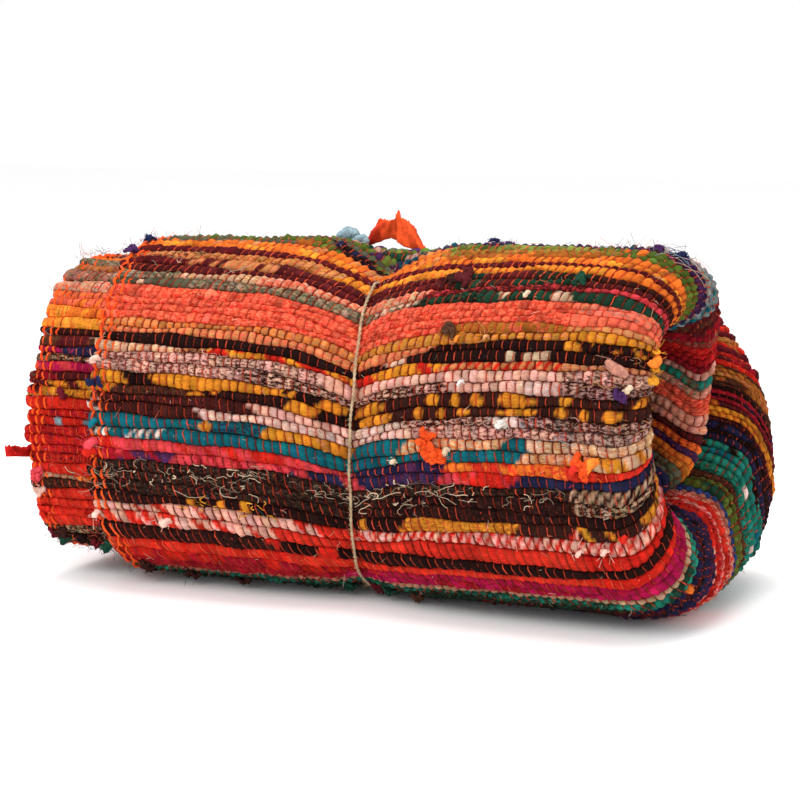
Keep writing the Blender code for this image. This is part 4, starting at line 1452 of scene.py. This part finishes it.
THREAD_SIDES = 3
FRAY_POINTS, FIBRE_POINTS, FLUFF_POINTS, HAIR_POINTS, LONG_POINTS = 12, 3, 4, 12, 16
FLUFF_EACH, HAIR_COUNT = 10, 22
FRAY_STRAY = 0.010  # how far along the rug a frayed thread gets from its start
FRAYS = (
    # x from, x to, along from, along to, clusters, threads in each, length, thickest, colour
    (-0.225, -0.012, 0.553, 0.573, 13, 4, 0.016, 0.00028, "cream"),
    (0.010, 0.235, 0.552, 0.573, 9, 4, 0.018, 0.00026, "cream"),
    (-0.225, 0.235, 0.553, 0.573, 26, 2, 0.006, 0.00075, "cream"),
    (0.008, 0.036, 0.558, 0.565, 1, 5, 0.026, 0.00052, "cream"),
    (0.080, 0.120, 0.558, 0.566, 1, 5, 0.020, 0.00052, "cream"),
    (0.130, 0.175, 0.556, 0.566, 2, 4, 0.018, 0.00050, "cream"),
    (-0.150, -0.080, 0.560, 0.570, 3, 3, 0.015, 0.00050, "cream"),
    (-0.225, -0.100, 0.545, 0.550, 3, 3, 0.040, 0.00036, "cream"),
    (0.020, 0.220, 0.612, 0.628, 7, 3, 0.016, 0.00034, "blush"),
    (-0.230, -0.070, 0.650, 0.668, 7, 3, 0.014, 0.00034, "blush"),
    (-0.145, -0.070, 0.533, 0.545, 6, 4, 0.011, 0.00060, "amber"),
    (-0.200, -0.040, 0.742, 0.758, 5, 3, 0.014, 0.00030, "cream"),
    (-0.240, -0.205, 0.535, 0.560, 3, 4, 0.020, 0.00036, "cream"),
    (0.020, 0.240, 0.738, 0.752, 5, 3, 0.014, 0.00030, "moss"),
    (0.150, 0.240, 0.606, 0.614, 4, 2, 0.024, 0.00034, "sky"),
    (-0.235, -0.215, 0.650, 0.664, 2, 7, 0.014, 0.00032, "blush"),
    (0.205, 0.250, 0.600, 0.700, 5, 3, 0.018, 0.00032, "tan"),
    (-0.230, 0.240, 0.500, 0.720, 18, 2, 0.014, 0.00026, "coral"),
)
FIBRES = (
    # x from, x to, along from, along to, half, count, longest
    (-0.24, 0.26, 0.45, 0.83, 1, 520, 0.0055),
    (-0.235, 0.27, 0.80, 0.86, 1, 150, 0.0045),
    (-0.235, -0.17, 0.78, 0.86, 1, 60, 0.0100),
    (0.20, 0.25, 0.78, 0.86, 1, 50, 0.0110),
    (-0.242, -0.225, 0.44, 0.84, 1, 150, 0.0100),
    (-0.31, -0.285, 0.46, 0.80, -1, 110, 0.0090),
    (-0.30, -0.25, 0.76, 0.82, -1, 70, 0.0130),
    (-0.30, -0.24, 0.45, 0.49, -1, 90, 0.0150),
    (-0.235, 0.30, 0.05, 0.45, 1, 260, 0.0060),
    (0.20, 0.31, 0.05, 0.45, 1, 100, 0.0070),
    (0.25, 0.29, 0.10, 0.30, 1, 30, 0.0120),
)
FIBRE_TINTS = "scarlet coral blush cream moss maroon orange beige purple teal soot rose".split()
HAIR_TINTS = "sky blush rose sky beige purple".split()


def picked(tints, count, rng):
    return np.array([PALETTE[tints[i]] for i in rng.integers(len(tints), size=count)])


def add_threads(parts, paths, radius, normals, colour):
    parts.add(*tubes(held_back(paths), radius, THREAD_SIDES, normals),
              np.repeat(colour, paths.shape[1] * THREAD_SIDES, axis=0))


def add_frays(parts, rng):
    """Frayed threads that lie on the rags in clusters."""
    n = FRAY_POINTS
    for x0, x1, along0, along1, clusters, each, long, thickest, colour in FRAYS:
        count = clusters * each
        x = np.repeat(rng.uniform(x0, x1, clusters), each) + rng.normal(0, 0.007, count)
        along = np.repeat(rng.uniform(along0, along1, clusters), each) + rng.normal(0, 0.002, count)
        heading = rng.normal(0, 0.35, count) + np.where(rng.random(count) < 0.5, 0, math.pi)
        turning = heading[:, None] + rng.normal(0, 0.14, (count, 1)) * np.arange(n)
        turning = turning + np.cumsum(rng.normal(0, 0.32, (count, n)), axis=1)
        step = long / n * rng.uniform(0.4, 1.2, (count, 1))
        xs = x[:, None] + np.cumsum(np.cos(turning) * step, axis=1)
        us = along[:, None] + np.cumsum(np.sin(turning) * step * 0.7, axis=1)
        us = along[:, None] + FRAY_STRAY * np.tanh((us - along[:, None]) / FRAY_STRAY)
        lift = (0.0044 + np.abs(np.cumsum(rng.normal(0, 0.0003, (count, n)), axis=1))).clip(0, 0.0075)
        path, normal = off_cloth(k_at(1.0, xs.ravel(), us.ravel()).reshape(xs.shape), us, lift)
        shade = np.array(PALETTE[colour]) * rng.uniform(0.12, 0.95, (count, 1))
        add_threads(parts, path, thickest * rng.uniform(0.5, 1.0, (count, 1)), normal, shade)


def add_fibres(parts, rng):
    """Fibres over the whole outside, more of them along the edges and the top."""
    for x0, x1, along0, along1, half, count, longest in FIBRES:
        x, along = rng.uniform(x0, x1, count), rng.uniform(along0, along1, count)
        here, across, up, normal = cloth_frame(k_at(float(half), x, along), along)
        out = normal * half
        lean = unit(out * rng.uniform(0.15, 0.9, (count, 1)) + across * rng.normal(0, 0.9, (count, 1))
                    + up * rng.normal(0, 0.7, (count, 1)))
        curl = rng.normal(0, 0.6, (count, 3))
        reach = (longest * rng.random(count) ** 1.8 + 0.002)[:, None, None]
        path = curved(here + out * 0.0042, lean, curl, 0.6, reach, FIBRE_POINTS, 0.0006)
        tint = picked(FIBRE_TINTS, count, rng)
        add_threads(parts, path, 0.00015, np.repeat(out[:, None], FIBRE_POINTS, axis=1),
                    tint * rng.normal(1, 0.15, (count, 1)))


def add_fluff(parts, rng):
    """Fluff round each tuft."""
    each = FLUFF_EACH
    for (*_, size, colour), (here, across, up, out) in zip(TUFTS, TUFT_PLACES):
        start = here + out * size * rng.uniform(0.0, 0.35, (each, 1)) + size * 0.32 * (
            across * rng.normal(0, 1, (each, 1)) + up * rng.normal(0, 1, (each, 1)))
        lean = (out * rng.uniform(0.0, 0.9, (each, 1)) + across * rng.normal(0, 0.8, (each, 1))
                + up * rng.normal(0, 0.8, (each, 1)))
        reach = min(size, 0.012) * rng.uniform(0.2, 0.5, (each, 1, 1))
        path = curved(start, lean, rng.normal(0, 0.7, (each, 3)), 1.0, reach, FLUFF_POINTS, 0.0006)
        add_threads(parts, path, 0.00020, np.broadcast_to(out, (each, FLUFF_POINTS, 3)),
                    np.array(PALETTE[colour]) * rng.normal(1.05, 0.15, (each, 1)))


def add_hairs(parts, rng):
    """Long hairs that hang over the fold's shoulder."""
    count = HAIR_COUNT
    x, along = rng.uniform(0.235, 0.268, count), rng.uniform(0.780, 0.835, count)
    here, across, up, normal = cloth_frame(k_at(1.0, x, along), along)
    t = np.linspace(0, 1, HAIR_POINTS)[None, :, None]
    reach = rng.uniform(0.014, 0.040, (count, 1, 1))
    path = (here[:, None] + normal[:, None] * (0.0045 + 0.25 * reach * np.sin(math.pi * 0.6 * t))
            - across[:, None] * reach * t * 0.75)
    path = path + up[:, None] * reach * rng.normal(0, 0.25, (count, 1, 1)) * t
    path[..., 2] -= 0.35 * reach[..., 0] * t[..., 0] ** 2
    add_threads(parts, path, 0.00020, np.repeat(normal[:, None], HAIR_POINTS, axis=1),
                picked(HAIR_TINTS, count, rng))


def add_long_thread(parts):
    """The long red thread of two strands that stands off the fold."""
    here, across, up, out = surface_point(0.300, 0.150, 1)
    t = np.linspace(0, 1, LONG_POINTS)[:, None]
    for shift in (0.0, 0.0016):
        path = (here + out * 0.011 * t + np.array((0.0, 0.0, 0.030)) * (t - 0.35)
                + across * (0.003 * np.sin(t * 7 + shift * 900)))
        path = path + np.array((shift, 0.0, 0.0))
        add_threads(parts, path[None], 0.00055, np.repeat(up[None], LONG_POINTS, axis=0)[None],
                    np.array([PALETTE["scarlet"]]))


def build_threads():
    """All the loose threads, fibres and fluff in one piece."""
    rng = np.random.default_rng(31)
    parts = Parts()
    add_frays(parts, rng)
    add_fibres(parts, rng)
    add_fluff(parts, rng)
    add_hairs(parts, rng)
    add_long_thread(parts)
    piece = parts.make("loose_threads", LOOSE)
    return piece


THREADS = build_threads()

# ---------------- Floor, light and camera ----------------
FLOOR = 6.0  # from its middle to its edges
AIM = (0.0, 0.0, 0.15)  # where the lights look
LIGHTS = (
    # name, place, size, power
    ("key", (-0.7, -1.7, 1.9), (1.4, 1.4), 26.0),
    ("fill", (1.8, -1.2, 1.0), (1.2, 1.2), 5.0),
    ("top", (0.0, 0.1, 2.2), (1.8, 1.2), 31.0),
)
VIEW_AZIMUTH, VIEW_ELEVATION, VIEW_DISTANCE, VIEW_ANGLE = 20.0, 10.2, 1.68, 24.23
VIEW_TARGET = (0.0, 0.0, 0.1645)
SENSOR = 36.0


def put(name, data, location, ahead):
    """Places a light or camera that looks ahead."""
    holder = bpy.data.objects.new(name, data)
    holder.location = location
    holder.rotation_euler = ahead.to_track_quat("-Z", "Y").to_euler()
    bpy.context.scene.collection.objects.link(holder)
    return holder


def build_floor():
    g = Graph("ground", 0.9)
    mesh = bpy.data.meshes.new("ground")
    corners = [(-FLOOR, -FLOOR, 0.0), (FLOOR, -FLOOR, 0.0), (FLOOR, FLOOR, 0.0), (-FLOOR, FLOOR, 0.0)]
    mesh.from_pydata(corners, [], [(0, 1, 2, 3)])
    mesh.materials.append(g.finish(g.mix(0.02, (0.985, 0.985, 0.985, 1.0), g.noise(g.place(), 3.0, 2.0))))
    floor = bpy.data.objects.new("ground", mesh)
    bpy.context.scene.collection.objects.link(floor)


def build_camera():
    azimuth, elevation = math.radians(VIEW_AZIMUTH), math.radians(VIEW_ELEVATION)
    away = Vector((math.sin(azimuth) * math.cos(elevation), -math.cos(azimuth) * math.cos(elevation),
                   math.sin(elevation)))
    camera = bpy.data.cameras.new("camera")
    camera.sensor_width = SENSOR
    camera.lens = SENSOR / 2 / math.tan(math.radians(VIEW_ANGLE) / 2)
    bpy.context.scene.camera = put("camera", camera, Vector(VIEW_TARGET) + away * VIEW_DISTANCE, -away)


build_floor()
build_camera()
for name, place, size, power in LIGHTS:
    light = bpy.data.lights.new(name, "AREA")
    light.shape = "RECTANGLE"
    light.size, light.size_y = size
    light.energy = power
    put(name, light, place, Vector(AIM) - Vector(place))
world = bpy.data.worlds.new("studio")
world.use_nodes = True
world.node_tree.nodes["Background"].inputs["Color"].default_value = (1.0, 1.0, 1.0, 1.0)
world.node_tree.nodes["Background"].inputs["Strength"].default_value = 1.0
bpy.context.scene.world = world
bpy.context.scene.view_settings.view_transform = "Standard"
bpy.context.scene.view_settings.look = "None"
